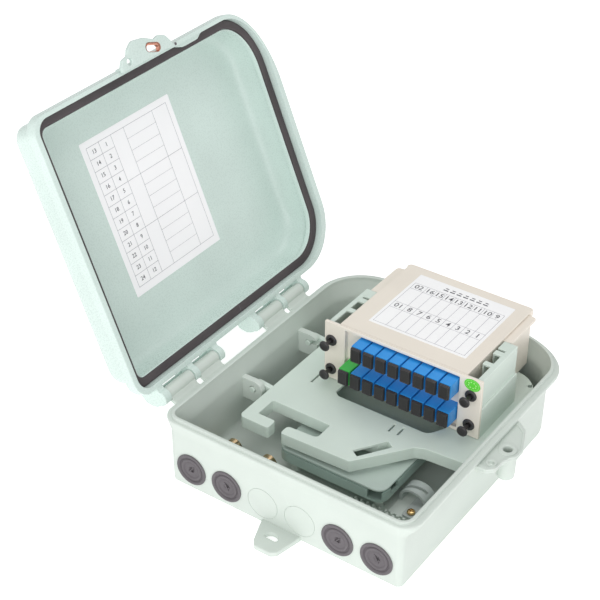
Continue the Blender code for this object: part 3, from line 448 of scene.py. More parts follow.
def base_rows():
    """Rows of the tray skin: back edge, wall, flared shoulder, rim lip, inner wall and floor."""
    rows = []

    def add(side, front, rear, z, front_r, rear_r, stretch=1.15):
        rows.append(row(side, side, front, rear, z, front_r, rear_r, stretch=stretch))

    def lip(offset, z):
        add(LIP_SIDE + offset, LIP_FRONT - offset, LIP_REAR + offset, z, 8.2 + offset, 34.8 + offset, 1.45)

    add(95.0, -113.2, 112.4, 0.0, 3.4, 34.6)
    add(95.5, -113.7, 112.9, 0.15, 3.8, 35.1)
    add(96.0, -114.2, 113.4, 0.6, 4.2, 35.5)
    add(96.3, -114.5, 113.7, 1.2, 4.5, 35.8)
    add(WALL_X, FRONT_Y, REAR_Y, 2.2, 4.6, 36.0)
    add(WALL_X + 0.02, FRONT_Y, REAR_Y, 4.0, 4.6, 36.0)
    add(96.9, -114.8, 114.5, 43.6, 5.5, 36.5)
    add(97.1, -114.8, 114.8, 45.2, 5.8, 36.7)
    add(97.8, -114.85, 115.7, 46.2, 6.8, 37.1, 1.25)
    add(99.4, -114.95, 117.8, 47.3, 8.6, 37.8, 1.38)
    add(101.2, -115.1, 120.2, 48.7, 10.5, 38.4, 1.5)
    add(102.4, -115.4, 121.8, 50.2, 11.9, 38.8, 1.6)
    add(103.1, -115.8, 122.8, 51.9, 12.7, 39.2, 1.68)
    add(103.4, -116.1, 123.3, 53.4, 13.0, 39.4, 1.7)
    add(103.4, -116.1, 123.3, 54.0, 13.0, 39.4, 1.7)
    add(103.15, -115.95, 123.0, 54.6, 12.8, 39.2, 1.7)
    add(102.5, -115.6, 122.4, 54.95, 12.4, 38.7, 1.7)
    add(101.8, -115.2, 121.6, 55.0, 11.8, 38.2, 1.65)
    add(100.0, -114.2, 119.5, 55.0, 10.0, 36.7, 1.45)
    add(99.5, -113.8, 118.9, 55.05, 9.7, 36.3, 1.45)
    lip(LIP_HALF, 55.4)
    lip(LIP_HALF, 56.7)
    lip(LIP_HALF - 0.12, 57.05)
    lip(LIP_HALF - 0.45, 57.3)
    lip(0.45 - LIP_HALF, 57.3)
    lip(0.12 - LIP_HALF, 57.05)
    lip(-LIP_HALF, 56.7)
    lip(-LIP_HALF - 0.1, 54.4)
    lip(-LIP_HALF - 0.4, 54.0)
    add(96.2, -110.85, 115.3, 52.6, 6.9, 33.1, 1.4)
    add(95.6, -110.8, 114.3, 49.6, 7.1, 32.8, 1.32)
    add(94.6, -110.6, 112.7, 46.2, 7.8, 32.4, 1.25)
    add(93.7, -110.5, 111.6, 43.2, 8.0, 32.3, 1.18)
    add(93.2, -110.45, 111.0, 40.0, 8.1, 32.2)
    add(92.6, -110.0, 110.4, 7.5, 7.6, 31.8)
    add(92.3, -109.7, 110.1, 5.2, 7.4, 31.5)
    add(91.3, -108.7, 109.1, 3.7, 6.7, 30.5)
    add(89.6, -107.0, 107.4, FLOOR_Z, 5.4, 29.0)
    return rows


def ear_outline(front):
    points = rounded([(-15.6, -112.0), (-15.6, -116.0), (-8.8, -134.6), (-5.1, -139.2), (8.2, -139.2),
                      (11.8, -136.2), (16.2, -116.0), (16.2, -112.0)], [0.0, 1.0, 2.0, 2.0, 2.0, 2.0, 1.0, 0.0], 6)
    return points if front else [(x, -y - 0.6) for x, y in reversed(points)]


def ear_slot(front):
    """Crescent screw slot."""
    middle = -126.4 if front else 126.6
    bend = 1.0 if front else -1.0
    upper = []
    lower = []
    for k in range(17):
        t = -1.0 + 2.0 * k / 16
        rise = bend * 1.6 * (1.0 - t * t)
        half = 3.0 * math.sqrt(max(0.04, 1.0 - abs(t) ** 3))
        upper.append((t * 5.2, middle + rise + half))
        lower.append((t * 5.2, middle + rise - half))
    return lower + upper[::-1]


def make_base():
    tray = mesh_object("base_tray", loft(base_rows()))
    hole = [(-6.0, PORT_HOLE_R), (9.0, PORT_HOLE_R)]
    for number in PLUG_NUMBERS:
        carve(tray, lathe(hole, (port_x(number), FRONT_Y, PORT_Z), count=56))
    for number in RING_NUMBERS:
        ring = [(-1.0, 12.75), (0.5, 12.55), (0.5, 12.25), (-1.0, 12.05)]
        carve(tray, lathe(ring, (port_x(number), FRONT_Y - 0.2, PORT_Z), count=72, ring=True))
    on_base(tray, stands_for=["base_shell"], sharp=38.0)

    for name, front in (("front_ear", True), ("rear_ear", False)):
        ear = plate(name, ear_outline(front), [ear_slot(front)], 0.0, 4.0, 0.7)
        on_base(ear)
    make_latch_bracket()
    make_hinge_barrels()
    make_pivot_brackets()
    make_floor_details()


def make_latch_bracket():
    """Lobed plate beside the rim with a raised edge, a screw boss under it and a seal hole."""
    shape = rounded([(99.5, -31.0), (109.5, -30.6), (114.6, -25.6), (114.6, -18.0), (116.6, -11.0), (120.2, -6.0),
                     (120.2, 3.0), (112.0, 22.5), (103.6, 28.6), (99.5, 28.6)],
                    [0.0, 3.5, 3.5, 2.5, 5.0, 5.0, 6.0, 6.0, 4.0, 0.0])
    bolt = circle(111.2, -2.4, 3.3, 40)
    seal = circle(108.9, -21.4, 2.0, 32)
    low = plate("latch_bracket", shape, [bolt, seal], BRACKET_Z - 3.4, BRACKET_Z - 0.7, 0.6)
    on_base(low)
    middle = Vector((106.0, -1.5))
    inner = [tuple(middle + (Vector(p) - middle) * 0.86) for p in shape]
    rim = plate("latch_bracket_rim", shape, [inner], BRACKET_Z - 2.4, BRACKET_Z, 0.45)
    on_base(rim)
    boss = [(-24.0, 3.6), (-24.0, 5.2), (-23.7, 5.8), (-23.0, 6.3), (-20.0, 6.5), (-1.2, 6.9), (-0.5, 6.7),
            (-0.1, 6.2), (0.0, 4.0), (-0.5, 3.4), (-12.0, 3.3), (-12.0, 0.2), (-23.0, 0.2)]
    collar = [(-0.9, 4.1), (0.0, 3.8), (0.0, 2.5), (-0.5, 2.1), (-3.0, 2.0), (-3.0, 4.1)]
    for name, profile, x, y, count in (("latch_boss", boss, 111.2, -2.4, 48),
                                       ("seal_hole_collar", collar, 108.9, -21.4, 40)):
        turned = lathe(profile, (x, y, BRACKET_Z), "Z", count, ring=True)
        on_base(mesh_object(name, turned))
    rib = prism([(96.0, -12.0), (96.0, 28.0), (106.0, 2.6), (106.0, -7.4)], BRACKET_Z - 15.0, BRACKET_Z - 3.0)
    on_base(mesh_object("latch_rib", rib), soft=0.8)


def make_hinge_barrels():
    """Barrels of the base between the lugs of the lid, each with its root on the rim."""
    number = 0
    for lugs in HINGE_LUGS:
        for left, right in ((lugs[0], lugs[1]), (lugs[1], lugs[2])):
            number += 1
            y0 = left[1] + 0.4
            y1 = right[0] - 0.4
            long = y1 - y0
            profile = [(0.0, 2.6), (0.0, BARREL_R - 0.7), (0.2, BARREL_R - 0.2), (0.7, BARREL_R),
                       (long - 0.7, BARREL_R), (long - 0.2, BARREL_R - 0.2), (long, BARREL_R - 0.7), (long, 2.6)]
            barrel = lathe(profile, (HINGE.x, y0, HINGE.z), count=44, ring=True)
            on_base(mesh_object(f"hinge_barrel_{number}", barrel))
            web = prism(rounded([(-97.4, 52.6), (-97.4, 46.0), (-101.0, 46.6), (-110.4, 51.8), (-112.4, 55.5),
                                 (-109.9, 56.4), (-106.8, 53.2)], [0.0, 0.0, 3.0, 3.0, 0.0, 0.0, 3.0], 5),
                        y0 + 0.1, y1 - 0.1, "Y")
            on_base(mesh_object(f"hinge_web_{number}", web), soft=0.5)


def make_pivot_brackets():
    """Lugs on the hinge-side wall that carry the pivots of the panel."""
    shape = rounded([(-95.0, 24.0), (-82.0, 24.0), (-76.2, 29.0), (-75.4, 36.0), (-77.4, 41.0), (-82.0, 42.6),
                     (-95.0, 42.6)], [0.0, 3.0, 4.0, 5.0, 4.0, 3.0, 0.0])
    for name, y0 in (("panel_bracket_near", -33.4), ("panel_bracket_far", 38.6)):
        lug = mesh_object(name, prism(shape, y0, y0 + 5.0, "Y"))
        hole = [(-3.0, 2.7), (8.0, 2.7)]
        carve(lug, lathe(hole, (PIVOT.x, y0, PIVOT.z), count=36))
        if name.endswith("far"):
            carve(lug, prism([(-84.0, 34.0), (-72.0, 36.6), (-72.0, 40.6), (-84.0, 37.4)], 36.0, 46.0, "Y"))
        on_base(lug, soft=0.55)


def make_floor_details():
    """Cable comb, clamp and strap seats and tray posts on the floor."""
    nubs = []
    for line, shift in ((0, 0.0), (1, 2.4)):
        for k in range(9):
            x = 24.0 + 4.9 * k + shift
            y = -63.0 + 2.2 * line
            profile = [(0.0, 1.5), (2.6, 1.35), (3.4, 1.1), (3.8, 0.5)]
            nubs.append(lathe(profile, (x, y, 3.2), "Z", 16))
    on_base(mesh_object("cable_comb", merged(nubs)))
    for k in (1, 2):
        low, high = box_of(f"cable_clamp_{k}")
        seat = block(low.x - 0.9, high.x + 0.9, low.y - 1.0, high.y + 1.0, 2.6, 5.4)
        on_base(mesh_object(f"clamp_seat_{k}", seat), soft=0.5)
    low, high = box_of("cable_strap")
    seat = block(low.x - 0.5, high.x + 0.5, low.y - 0.5, high.y + 0.5, 2.6, low.z)
    on_base(mesh_object("strap_seat", seat), soft=0.5)
    posts = []
    for x, y in ((-28.0, -56.0), (42.0, -56.0), (-28.0, 60.0), (42.0, 60.0)):
        posts.append(lathe([(-0.4, 4.4), (0.8, 3.6), (TRAY_Z - FLOOR_Z - 0.8, 3.1), (TRAY_Z - FLOOR_Z - 0.3, 2.6)],
                           (x, y, FLOOR_Z), "Z", 28))
    on_base(mesh_object("tray_posts", merged(posts)))


def make_plugs():
    """Ring-shaped rubber plugs with stepped faces and a pierced centre."""
    profile = [(0.9, 0.3), (0.7, 1.6), (0.1, 2.2), (-0.2, 3.2), (-0.3, 5.4), (-0.1, 5.9), (-0.1, 6.5), (-0.5, 6.9),
               (-0.8, 7.6), (-0.8, 8.4), (-0.5, 8.9), (0.0, 9.2), (0.0, 9.8), (-0.5, 10.2), (-1.0, 10.6),
               (-1.1, 11.2), (-1.1, 12.1), (-0.95, 12.5), (-0.6, 12.7), (-0.3, 12.7), (-0.3, 11.1), (6.4, 11.1),
               (6.5, 11.9), (8.3, 10.3), (8.3, 8.2), (3.2, 7.4), (2.2, 0.3)]
    for number in PLUG_NUMBERS:
        centre = (port_x(number), FRONT_Y - 0.1, PORT_Z)
        plug = mesh_object(f"cable_entry_plug_{number}", lathe(profile, centre, count=64, ring=True))
        dress(plug, PLUG, "base", "plug_rubber", stands_for=[f"port_plug_{number}"], sharp=50.0)
        turn = math.radians(52.0 if number % 2 else 118.0)
        ribs = []
        for along, across, half in ((0.0, 0.0, 3.6), (2.0, 1.8, 1.7)):
            c, d = math.cos(turn + along), math.sin(turn + along)
            points = [(c * u - d * v, d * u + c * v) for u, v in rect(-half, half, across - 0.35, across + 0.35)]
            ribs.append(prism([(centre[0] + u, PORT_Z + v) for u, v in points], FRONT_Y - 0.75, FRONT_Y + 0.3, "Y"))
        marks = mesh_object(f"plug_rib_{number}", merged(ribs))
        dress(marks, PLUG, "base", "plug_rubber", soft=0.12)


# ---- lid


def lid_rows():
    """Rows of the lid skin, from the rim face over the dome and back down to the gasket groove."""
    outside = []
    inside = []

    def out(left, right, front, rear, z, front_r, rear_r, stretch=1.15):
        outside.append(row(left, right, front, rear, z, front_r, rear_r, stretch=stretch))

    def inn(left, right, front, rear, z, front_r, rear_r, stretch=1.15):
        inside.append(row(left, right, front, rear, z, front_r, rear_r, stretch=stretch))

    def groove(side, front, rear, z, front_r, rear_r, bow=0.0):
        inside.append(row(side, side, front, rear, z, front_r, rear_r, bow, 1.3))

    out(105.0, 104.2, -118.6, 126.2, RIM_Z, 12.2, 39.8, 1.65)
    out(105.7, 104.9, -119.3, 126.9, RIM_Z + 0.2, 12.9, 40.5, 1.65)
    out(106.0, 105.2, -119.6, 127.2, 56.1, 13.2, 40.8, 1.65)
    out(106.2, 105.4, -119.8, 127.4, 62.6, 13.4, 41.0, 1.65)
    out(106.0, 105.2, -119.6, 127.2, 63.6, 13.2, 40.8, 1.62)
    out(105.3, 104.5, -118.9, 126.4, 64.3, 12.6, 40.2, 1.6)
    out(104.4, 103.5, -117.8, 125.3, 64.7, 11.8, 39.4, 1.5)
    out(102.0, 101.2, -115.2, 122.8, 65.2, 10.2, 37.6, 1.3)
    out(101.1, 100.3, -114.3, 121.8, 65.9, 9.7, 37.1, 1.22)
    out(100.4, 99.6, -113.6, 121.0, 67.6, 9.4, 36.8)
    out(99.5, 98.9, -112.9, 120.1, 79.0, 9.0, 36.1)
    out(99.0, 98.5, -112.5, 119.6, 82.4, 8.9, 35.8)
    out(97.9, 97.6, -111.8, 118.7, 85.0, 8.7, 35.2)
    out(96.0, 96.1, -110.8, 117.6, 87.2, 8.5, 34.4)
    out(93.4, 94.3, -109.4, 116.0, 88.8, 8.2, 33.2)
    out(90.2, 92.2, -107.7, 114.2, 89.8, 8.0, 32.0)
    out(86.6, 90.0, -105.8, 112.4, 90.5, 7.8, 31.0)
    out(82.0, 87.0, -103.4, 110.4, 90.9, 7.6, 30.2)
    out(60.0, 66.0, -82.0, 94.0, 91.0, 7.0, 28.0)
    inn(60.0, 66.0, -82.0, 94.0, DOME_IN_Z, 7.0, 28.0)
    inn(79.0, 83.6, -99.6, 106.2, 88.8, 7.2, 28.4)
    inn(84.0, 87.6, -103.2, 109.8, 88.5, 7.4, 29.0)
    inn(88.0, 90.2, -105.6, 112.4, 87.7, 7.6, 29.8)
    inn(91.4, 92.2, -107.2, 114.4, 86.2, 7.7, 30.8)
    inn(93.8, 93.8, -108.5, 115.6, 84.0, 7.8, 31.8)
    inn(95.2, 95.0, -109.4, 116.3, 81.0, 8.0, 32.5)
    inn(95.8, 95.6, -109.9, 116.7, 77.0, 8.1, 32.8)
    inn(96.4, 96.2, -110.4, 117.0, 69.6, 8.2, 33.0)
    inn(96.2, 96.0, -110.3, 116.7, 68.0, 7.8, 32.8)
    inn(95.4, 95.2, -109.7, 115.4, 66.6, 6.6, 31.8, 1.18)
    inn(94.6, 94.6, -108.8, 113.8, 65.6, 5.5, 30.2, 1.24)
    groove(94.2, -108.3, 113.0, 64.8, 4.9, 29.2)
    groove(94.15, -108.25, 112.95, 61.9, 4.85, 29.15)
    groove(94.25, -108.35, 113.05, 61.4, 4.95, 29.25)
    groove(94.55, -108.65, 113.35, 61.2, 5.25, 29.55)
    groove(94.8, -108.9, 113.6, 61.3, 5.5, 29.8)
    groove(94.95, -109.05, 113.75, 61.7, 5.65, 29.95)
    groove(95.0, -109.1, 113.8, 63.0, 5.7, 30.0)
    groove(95.1, -109.2, 113.9, 63.1, 5.8, 30.1)
    groove(101.7, -115.7, 121.2, 63.1, 10.4, 36.4, 3.4)
    groove(101.75, -115.7, 121.25, 62.9, 10.45, 36.45, 3.4)
    groove(101.75, -115.4, 121.25, 58.3, 10.45, 36.45, 3.4)
    groove(101.8, -115.3, 121.3, 58.0, 10.5, 36.5, 3.1)
    groove(101.9, -115.1, 121.4, 57.8, 10.5, 36.6)
    groove(101.95, -114.9, 121.5, 56.0, 10.4, 36.7)
    groove(102.05, -115.0, 121.6, 55.6, 10.5, 36.8)
    groove(102.4, -115.4, 121.95, RIM_Z, 10.9, 37.2)
    return outside, inside


def make_lid():
    outside, inside = lid_rows()
    bm = bmesh.new()
    rows = [[bm.verts.new(p) for p in loop] for loop in outside + inside]
    crown = len(outside) - 1
    for k, low in enumerate(rows):
        if k == crown:
            continue
        high = rows[(k + 1) % len(rows)]
        for i in range(len(low)):
            j = (i + 1) % len(low)
            bm.faces.new((low[i], low[j], high[j], high[i]))
    bm.faces.new(rows[crown])
    bm.faces.new(list(reversed(rows[crown + 1])))
    dome = mesh_object("lid_dome", bm, TO_REST)
    on_lid(dome, stands_for=["lid_shell"], sharp=38.0)
    make_lid_hinges()
    make_latch_tab()
    make_gasket()
    make_lid_label()


def lug_outline():
    """Side view of a hinge lug: an eye round the axis and a tall root on the side of the lid."""
    points = []
    for k in range(25):
        angle = math.radians(-14.0 - 168.0 * k / 24)
        points.append((HINGE.x + LUG_R * math.cos(angle), HINGE.z + LUG_R * math.sin(angle)))
    root = rounded([(-119.9, 57.6), (-120.9, 62.0), (-120.4, 66.6), (-117.4, 71.8), (-111.0, 74.3), (-99.2, 75.0),
                    (-99.2, 65.8), (-104.0, 62.4), (-104.2, 56.0), (-107.4, 55.6)],
                   [0.0, 2.0, 4.0, 4.0, 3.0, 0.0, 0.0, 1.0, 1.5, 1.5], 5)
    return points + root


def make_lid_hinges():
    shape = lug_outline()
    number = 0
    for pair, lugs in enumerate(HINGE_LUGS):
        for k, (y0, y1) in enumerate(lugs):
            number += 1
            lug = mesh_object(f"hinge_lug_{number}", prism(shape, y0, y1, "Y"), TO_REST)
            on_lid(lug, soft=0.55)
            stubs = []
            if k < 2:
                stubs.append(lathe([(-0.6, 2.2), (4.6, 2.2), (5.2, 1.7)], (HINGE.x, y1, HINGE.z), count=28))
            if k > 0:
                stubs.append(lathe([(-5.2, 1.7), (-4.6, 2.2), (0.6, 2.2)], (HINGE.x, y0, HINGE.z), count=28))
            stub = mesh_object(f"hinge_stub_{number}", merged(stubs), TO_REST)
            on_lid(stub)
        bar = prism(rounded([(HINGE.x + 0.2, HINGE.z + 7.4), (HINGE.x + 2.6, HINGE.z + 6.6),
                             (HINGE.x + 3.4, HINGE.z + 8.6), (HINGE.x + 1.0, HINGE.z + 9.4)], 0.7, 3),
                    lugs[0][0] + 0.8, lugs[2][1] - 0.8, "Y")
        on_lid(mesh_object(f"hinge_bar_{pair + 1}", bar, TO_REST), soft=0.3)


def make_latch_tab():
    """Lobed tab with the lock opening, its copper bush, a seal hole, and a dark disc on the rim as painted shade of a
    small pin hole.
    """
    shape = rounded([(104.2, -30.0), (107.6, -30.0), (112.4, -26.6), (113.2, -20.8), (117.2, -18.4), (121.2, -12.0),
                     (119.6, -1.0), (114.8, 8.8), (116.2, 14.0), (114.0, 20.0), (108.4, 24.0), (104.2, 25.0)],
                    [0.0, 3.0, 4.0, 3.0, 4.0, 5.0, 7.0, 4.0, 4.0, 4.0, 4.0, 0.0])
    low, high = BRACKET_Z + 0.4, BRACKET_Z + 3.6
    lock = stadium(110.2, 5.3, 7.4, 3.4, 18.0)
    seal = circle(108.9, -20.8, 2.5, 40)
    tab = plate("latch_tab", shape, [lock, seal], low, high, 0.6, TO_REST)
    on_lid(tab)
    riser = rounded([(103.8, -27.6), (106.4, -27.6), (106.4, 24.0), (103.8, 24.0)], [0.0, 1.2, 1.2, 0.0], 5)
    on_lid(mesh_object("latch_tab_riser", prism(riser, high - 0.8, 62.0), TO_REST), soft=0.5)
    outer = stadium(110.2, 5.3, 7.3, 3.3, 18.0)
    brim = stadium(109.8, 4.9, 6.5, 2.7, 18.0)
    hole = stadium(109.6, 4.7, 6.1, 2.3, 18.0)
    loops = [at(outer, low + 0.5), at(outer, low + 0.15), at(brim, low + 0.1), at(hole, low + 0.5),
             at(hole, high + 0.3), at(outer, high + 0.3)]
    eyelet = mesh_object("lock_bush", loft(loops, ring=True), TO_REST)
    dress(eyelet, COPPER, "lid", "brass", stands_for=["lock_eyelet"], sharp=50.0)
    # Dark grey disc on the rim: painted shade standing in for the small pin hole in the shell plastic.
    pin = lathe([(-0.12, 0.2), (-0.12, 1.1), (0.3, 1.3), (0.3, 0.2)], (103.7, 31.0, RIM_Z), "Z", 24)
    on_lid(mesh_object("rim_pin_hole_shade", pin, TO_REST), PLUG)


def make_gasket():
    """Sponge-rubber ring in the groove, slightly domed and uneven, with a butt seam at the hinge side."""
    random.seed(7)
    loops = []
    for inset, z, bow in ((6.3, GASKET_Z1, 0.0), (6.3, GASKET_Z0 + 0.6, 0.0), (5.9, GASKET_Z0 + 0.2, 0.2),
                          (5.1, GASKET_Z0 + 0.03, 0.6), (3.2, GASKET_Z0, 1.6), (1.2, GASKET_Z0 + 0.03, 2.7),
                          (0.4, GASKET_Z0 + 0.2, 3.1), (0.0, GASKET_Z0 + 0.6, 3.3), (0.0, GASKET_Z1, 3.3)):
        loop = outline(inset - 101.5, 101.5 - inset, inset - 115.5, 121.0 - inset, 10.2 - 0.7 * inset, 36.2 - inset,
                       bow, 1.3)
        loops.append([(px, py, z + random.uniform(0.0, 0.06)) for px, py in loop])
    gasket = mesh_object("gasket_ring", loft(loops, ring=True), TO_REST)
    dress(gasket, SEAL, "lid", "seal_rubber", stands_for=["lid_gasket"], sharp=60.0)
    seam = block(-101.3, -95.4, 6.0, 6.5, GASKET_Z0 - 0.06, GASKET_Z0 + 0.5)
    dress(mesh_object("gasket_seam", seam, TO_REST), PLUG, "lid", "seal_rubber", soft=0.1)


def digits(text, size, where, turn, downwards=False):
    """A number as thin ink, centred on a point of a label and turned by degrees about Z."""
    data = bpy.data.curves.new("number", "FONT")
    data.body = text
    data.size = size * MM
    data.align_x = "CENTER"
    data.align_y = "CENTER"
    data.extrude = 0.015 * MM
    data.offset = 0.06 * MM
    data.resolution_u = 2
    bm = baked(data)
    flip = Matrix.Rotation(math.pi, 4, "X") if downwards else Matrix.Identity(4)
    move = Matrix.Translation(Vector(where)) @ Matrix.Rotation(math.radians(turn), 4, "Z") @ flip
    bmesh.ops.transform(bm, matrix=move, verts=bm.verts)
    return bm


def strip(x0, y0, x1, y1, width, z, thick=0.03):
    """A thin straight line of ink between two points."""
    run = Vector((x1 - x0, y1 - y0))
    side = Vector((-run.y, run.x)).normalized() * width / 2
    points = [(x0 - side.x, y0 - side.y), (x1 - side.x, y1 - side.y), (x1 + side.x, y1 + side.y),
              (x0 + side.x, y0 + side.y)]
    return prism(points, z, z + thick)


def make_lid_label():
    """Blank port table inside the lid; its rows carry numbers only."""
    x0, x1, y0, y1 = -54.5, 66.0, -60.0, 38.0
    face = DOME_IN_Z - 0.28
    sheet = plate("lid_label", rounded(rect(x0, x1, y0, y1), 0.8, 3), [], face, face + 0.24,
                  0.08, TO_REST)
    on_lid(sheet, LID_PAPER)
    ink = face - 0.05
    lines = []
    frame_x0, frame_x1, frame_y0, frame_y1 = x0 + 6.0, x1 - 5.0, y0 + 5.0, y1 - 5.0
    for y in (frame_y0, frame_y0 + 13.0, frame_y0 + 26.0, frame_y0 + 40.0, frame_y0 + 72.0, frame_y1):
        lines.append(strip(frame_x0, y, frame_x1, y, 0.35, ink))
    rows = 12
    for k in range(rows + 1):
        x = frame_x0 + (frame_x1 - frame_x0) * k / rows
        long = k % 4 == 0
        lines.append(strip(x, frame_y0, x, frame_y1 if long else frame_y0 + 26.0, 0.35, ink))
        if not long:
            lines.append(strip(x, frame_y0 + 40.0, x, frame_y0 + 72.0, 0.25, ink))
    on_lid(mesh_object("lid_label_lines", merged(lines), TO_REST), PALE_INK)
    numbers = []
    for k in range(rows):
        x = frame_x0 + (frame_x1 - frame_x0) * (k + 0.5) / rows
        for column, first in ((0, rows + 1), (1, 1)):
            y = frame_y0 + 6.5 + 13.0 * column
            count = first + rows - 1 - k
            numbers.append(digits(str(count), 4.4, (x, y, ink + 0.01), 90.0, True))
    on_lid(mesh_object("lid_label_numbers", merged(numbers), TO_REST), INK)


# ---- hinged panel


def panel_outline():
    return rounded([
        (-71.8, -63.4), (-69.0, -66.2), (-46.2, -66.2), (-46.2, -56.2), (-61.6, -56.2), (-61.6, -38.2),
        (-11.6, -38.2), (-11.6, -54.6), (-36.0, -56.0), (-36.0, -65.4), (21.4, -63.2), (50.6, -24.4),
        (57.0, -21.6), (90.6, -19.0), (90.6, 96.0), (-71.8, 96.0)],
        [2.4, 2.4, 2.6, 2.6, 1.2, 1.6, 1.2, 3.6, 3.6, 2.6, 3.0, 7.0, 6.0, 2.0, 30.0, 26.0])


def panel_hollows():
    low = SKIRT_Z - 3.0
    high = PANEL_Z - PANEL_T
    main = rounded([(-69.8, -36.2), (-9.4, -36.2), (10.6, -36.2), (46.8, -22.8), (56.4, -19.2), (88.6, -16.8),
                    (88.6, 94.0), (-69.8, 94.0)], [1.0, 0.0, 0.0, 4.0, 5.0, 1.5, 28.2, 24.2], 5)
    finger = rounded([(-69.8, -63.0), (-68.6, -64.2), (-48.2, -64.2), (-48.2, -58.2), (-63.6, -58.2),
                      (-63.6, -40.2), (-69.8, -40.2)], 0.6, 3)
    bar = rounded([(-34.0, -63.4), (20.2, -61.2), (39.6, -35.2), (38.4, -34.0), (-9.6, -40.2), (-9.6, -52.8),
                   (-12.6, -56.4), (-34.0, -57.8)], 0.6, 3)
    return [prism(main, low, high), prism(finger, low, high), prism(bar, low, high)]


def make_panel():
    opening = rounded([(-26.0, -6.4), (50.0, -6.4), (57.4, 6.4), (57.4, 40.0), (-30.0, 40.0), (-30.0, -3.0)],
                      [4.0, 8.0, 2.0, 4.0, 4.0, 2.0])
    slanted = rounded([(16.6, -51.6), (22.6, -55.4), (37.6, -33.0), (31.6, -29.2)], 0.6, 3)
    narrow = [rounded(rect(x, x + 1.5, -19.6, -10.2), 0.5, 3) for x in (25.0, 32.4)]
    beside = rounded(rect(-52.4, -50.8, -4.0, 9.0), 0.5, 3)
    dot = circle(83.6, 84.5, 1.7, 24)
    top = plate("panel_plate", panel_outline(), [opening, slanted, *narrow, beside, dot], SKIRT_Z, PANEL_Z, 0.45)
    carve(top, *panel_hollows())
    on_panel(top, stands_for=["flip_panel"])
    for k, y0 in enumerate((-28.0, 44.0)):
        ear = prism(rounded([(-69.0, 30.6), (-69.0, 37.6), (-84.0, 39.4), (-88.4, 35.0), (-84.0, 30.6)],
                            [0.0, 0.0, 3.4, 3.4, 3.4], 6), y0, y0 + 4.2, "Y")
        on_panel(mesh_object(f"panel_ear_{k + 1}", ear), soft=0.5)
        pin = lathe([(-6.4, 1.4), (-6.4, 2.0), (-5.9, 2.4), (0.8, 2.4)], (PIVOT.x, y0, PIVOT.z), count=32)
        on_panel(mesh_object(f"panel_pivot_{k + 1}", pin))
    make_guides()


def make_guides():
    """Walls beside the cassette, hollow from the rear, with a lower ledge outside and slots beside the cassette."""
    tall = rect(11.0, 62.4, 37.0, 86.6)
    ledge = rect(11.0, 62.4, 37.0, 63.4)
    hollow = rect(13.0, 70.0, 40.0, 84.6)
    for name, tall_x, low_x, cut_x, slot_x in (
            ("guide_hinge_side", (-46.8, -37.6), (-48.4, -45.6), (-45.2, -39.2), (-43.0, -36.0)),
            ("guide_latch_side", (70.2, 81.0), (79.8, 82.6), (71.8, 77.8), (69.0, 76.6))):
        wall = mesh_object(name, prism(tall, *tall_x, "X"))
        carve(wall, prism(hollow, *cut_x, "X"))
        for y0, y1 in ((13.0, 30.0), (34.5, 45.0), (50.0, 52.4)):
            carve(wall, block(slot_x[0], slot_x[1], y0, y1, 44.0, 90.0))
        on_panel(wall, soft=0.6)
        step = mesh_object(name + "_ledge", prism(ledge, *low_x, "X"))
        on_panel(step, soft=0.7)


# ---- cassette


def make_cassette():
    low, high = box_of("cassette_housing")
    recess = (-30.4, 64.8, 41.0, 86.0)
    outer = rounded(rect(low.x, high.x, low.z, 88.2), 0.6, 4)
    window = rounded(rect(*recess), 0.6, 4)
    pins = [centre_of(f"plunger_{k}") for k in (1, 2, 3, 4)]
    holes = [circle(pin.x, pin.z, 3.0, 32) for pin in pins]
    flange = plate("cassette_flange", outer, [window, *holes], -(CASS_Y + 2.6), -CASS_Y, 0.3,
                   Matrix.Rotation(math.radians(90.0), 4, "X"))
    on_cassette(flange, stands_for=["cassette_housing"])

    pan = mesh_object("cassette_recess", block(recess[0] - 1.2, recess[1] + 1.2, CASS_Y + 0.6, CASS_Y + 5.4,
                                               recess[2] - 1.2, recess[3] + 1.2))
    carve(pan, block(recess[0], recess[1], CASS_Y - 1.0, CASS_Y + 4.0, recess[2], recess[3]))
    on_cassette(pan, soft=0.15)

    body = mesh_object("cassette_body", block(-36.0, 68.6, CASS_Y + 2.0, high.y, low.z, 85.8))
    carve(body, block(-34.0, 66.6, CASS_Y - 2.0, high.y - 2.0, low.z + 2.0, 95.0))
    on_cassette(body, soft=0.5)
    make_cover(high.y)
    make_cassette_label()
    make_adapters()
    make_plungers()
    low, high = box_of("plc_splitter_module")
    module = block(low.x, high.x, low.y, high.y, low.z, high.z)
    dress(mesh_object("splitter_chip", module), CHIP, "panel", "module_metal", soft=0.5,
          stands_for=["plc_splitter_module"])


def make_cover(rear):
    """Cover plate, a grey band under it as painted shade in the seam, the ledges behind the guides and the rounded
    rear corners.
    """
    low, high = box_of("cassette_cover")
    shape = rounded(rect(low.x, high.x, low.y, high.y), [0.4, 0.4, 4.0, 4.0], 6)
    cover = plate("cassette_lid", shape, [], low.z, high.z, 0.5)
    on_cassette(cover, stands_for=["cassette_cover"])
    # Grey band filling the gap under the cover: painted shade in the seam between cover and cassette body.
    seam = block(-35.4, 68.0, CASS_Y + 2.4, rear - 0.4, 85.6, 86.3)
    on_cassette(mesh_object("cassette_seam_shade", seam), NYLON, soft=0.1)
    for name, x0, x1 in (("cassette_ledge_a", -44.0, -35.0), ("cassette_ledge_b", 67.6, 75.2)):
        corner = [0.6, 4.0, 2.2, 0.6] if x0 > 0 else [0.6, 0.6, 2.2, 4.0]
        flat = rounded(rect(x0, x1, 63.2, 102.0), corner, 6)
        on_cassette(plate(name, flat, [], 83.4, 85.9, 0.5))
    for name, x in (("corner_post_a", low.x + 2.6), ("corner_post_b", high.x - 2.6)):
        post = lathe([(-5.0, 3.4), (0.0, 3.4), (0.5, 3.2), (0.8, 2.6)], (x, high.y - 3.4, high.z - 0.65), "Z", 36)
        on_cassette(mesh_object(name, post))


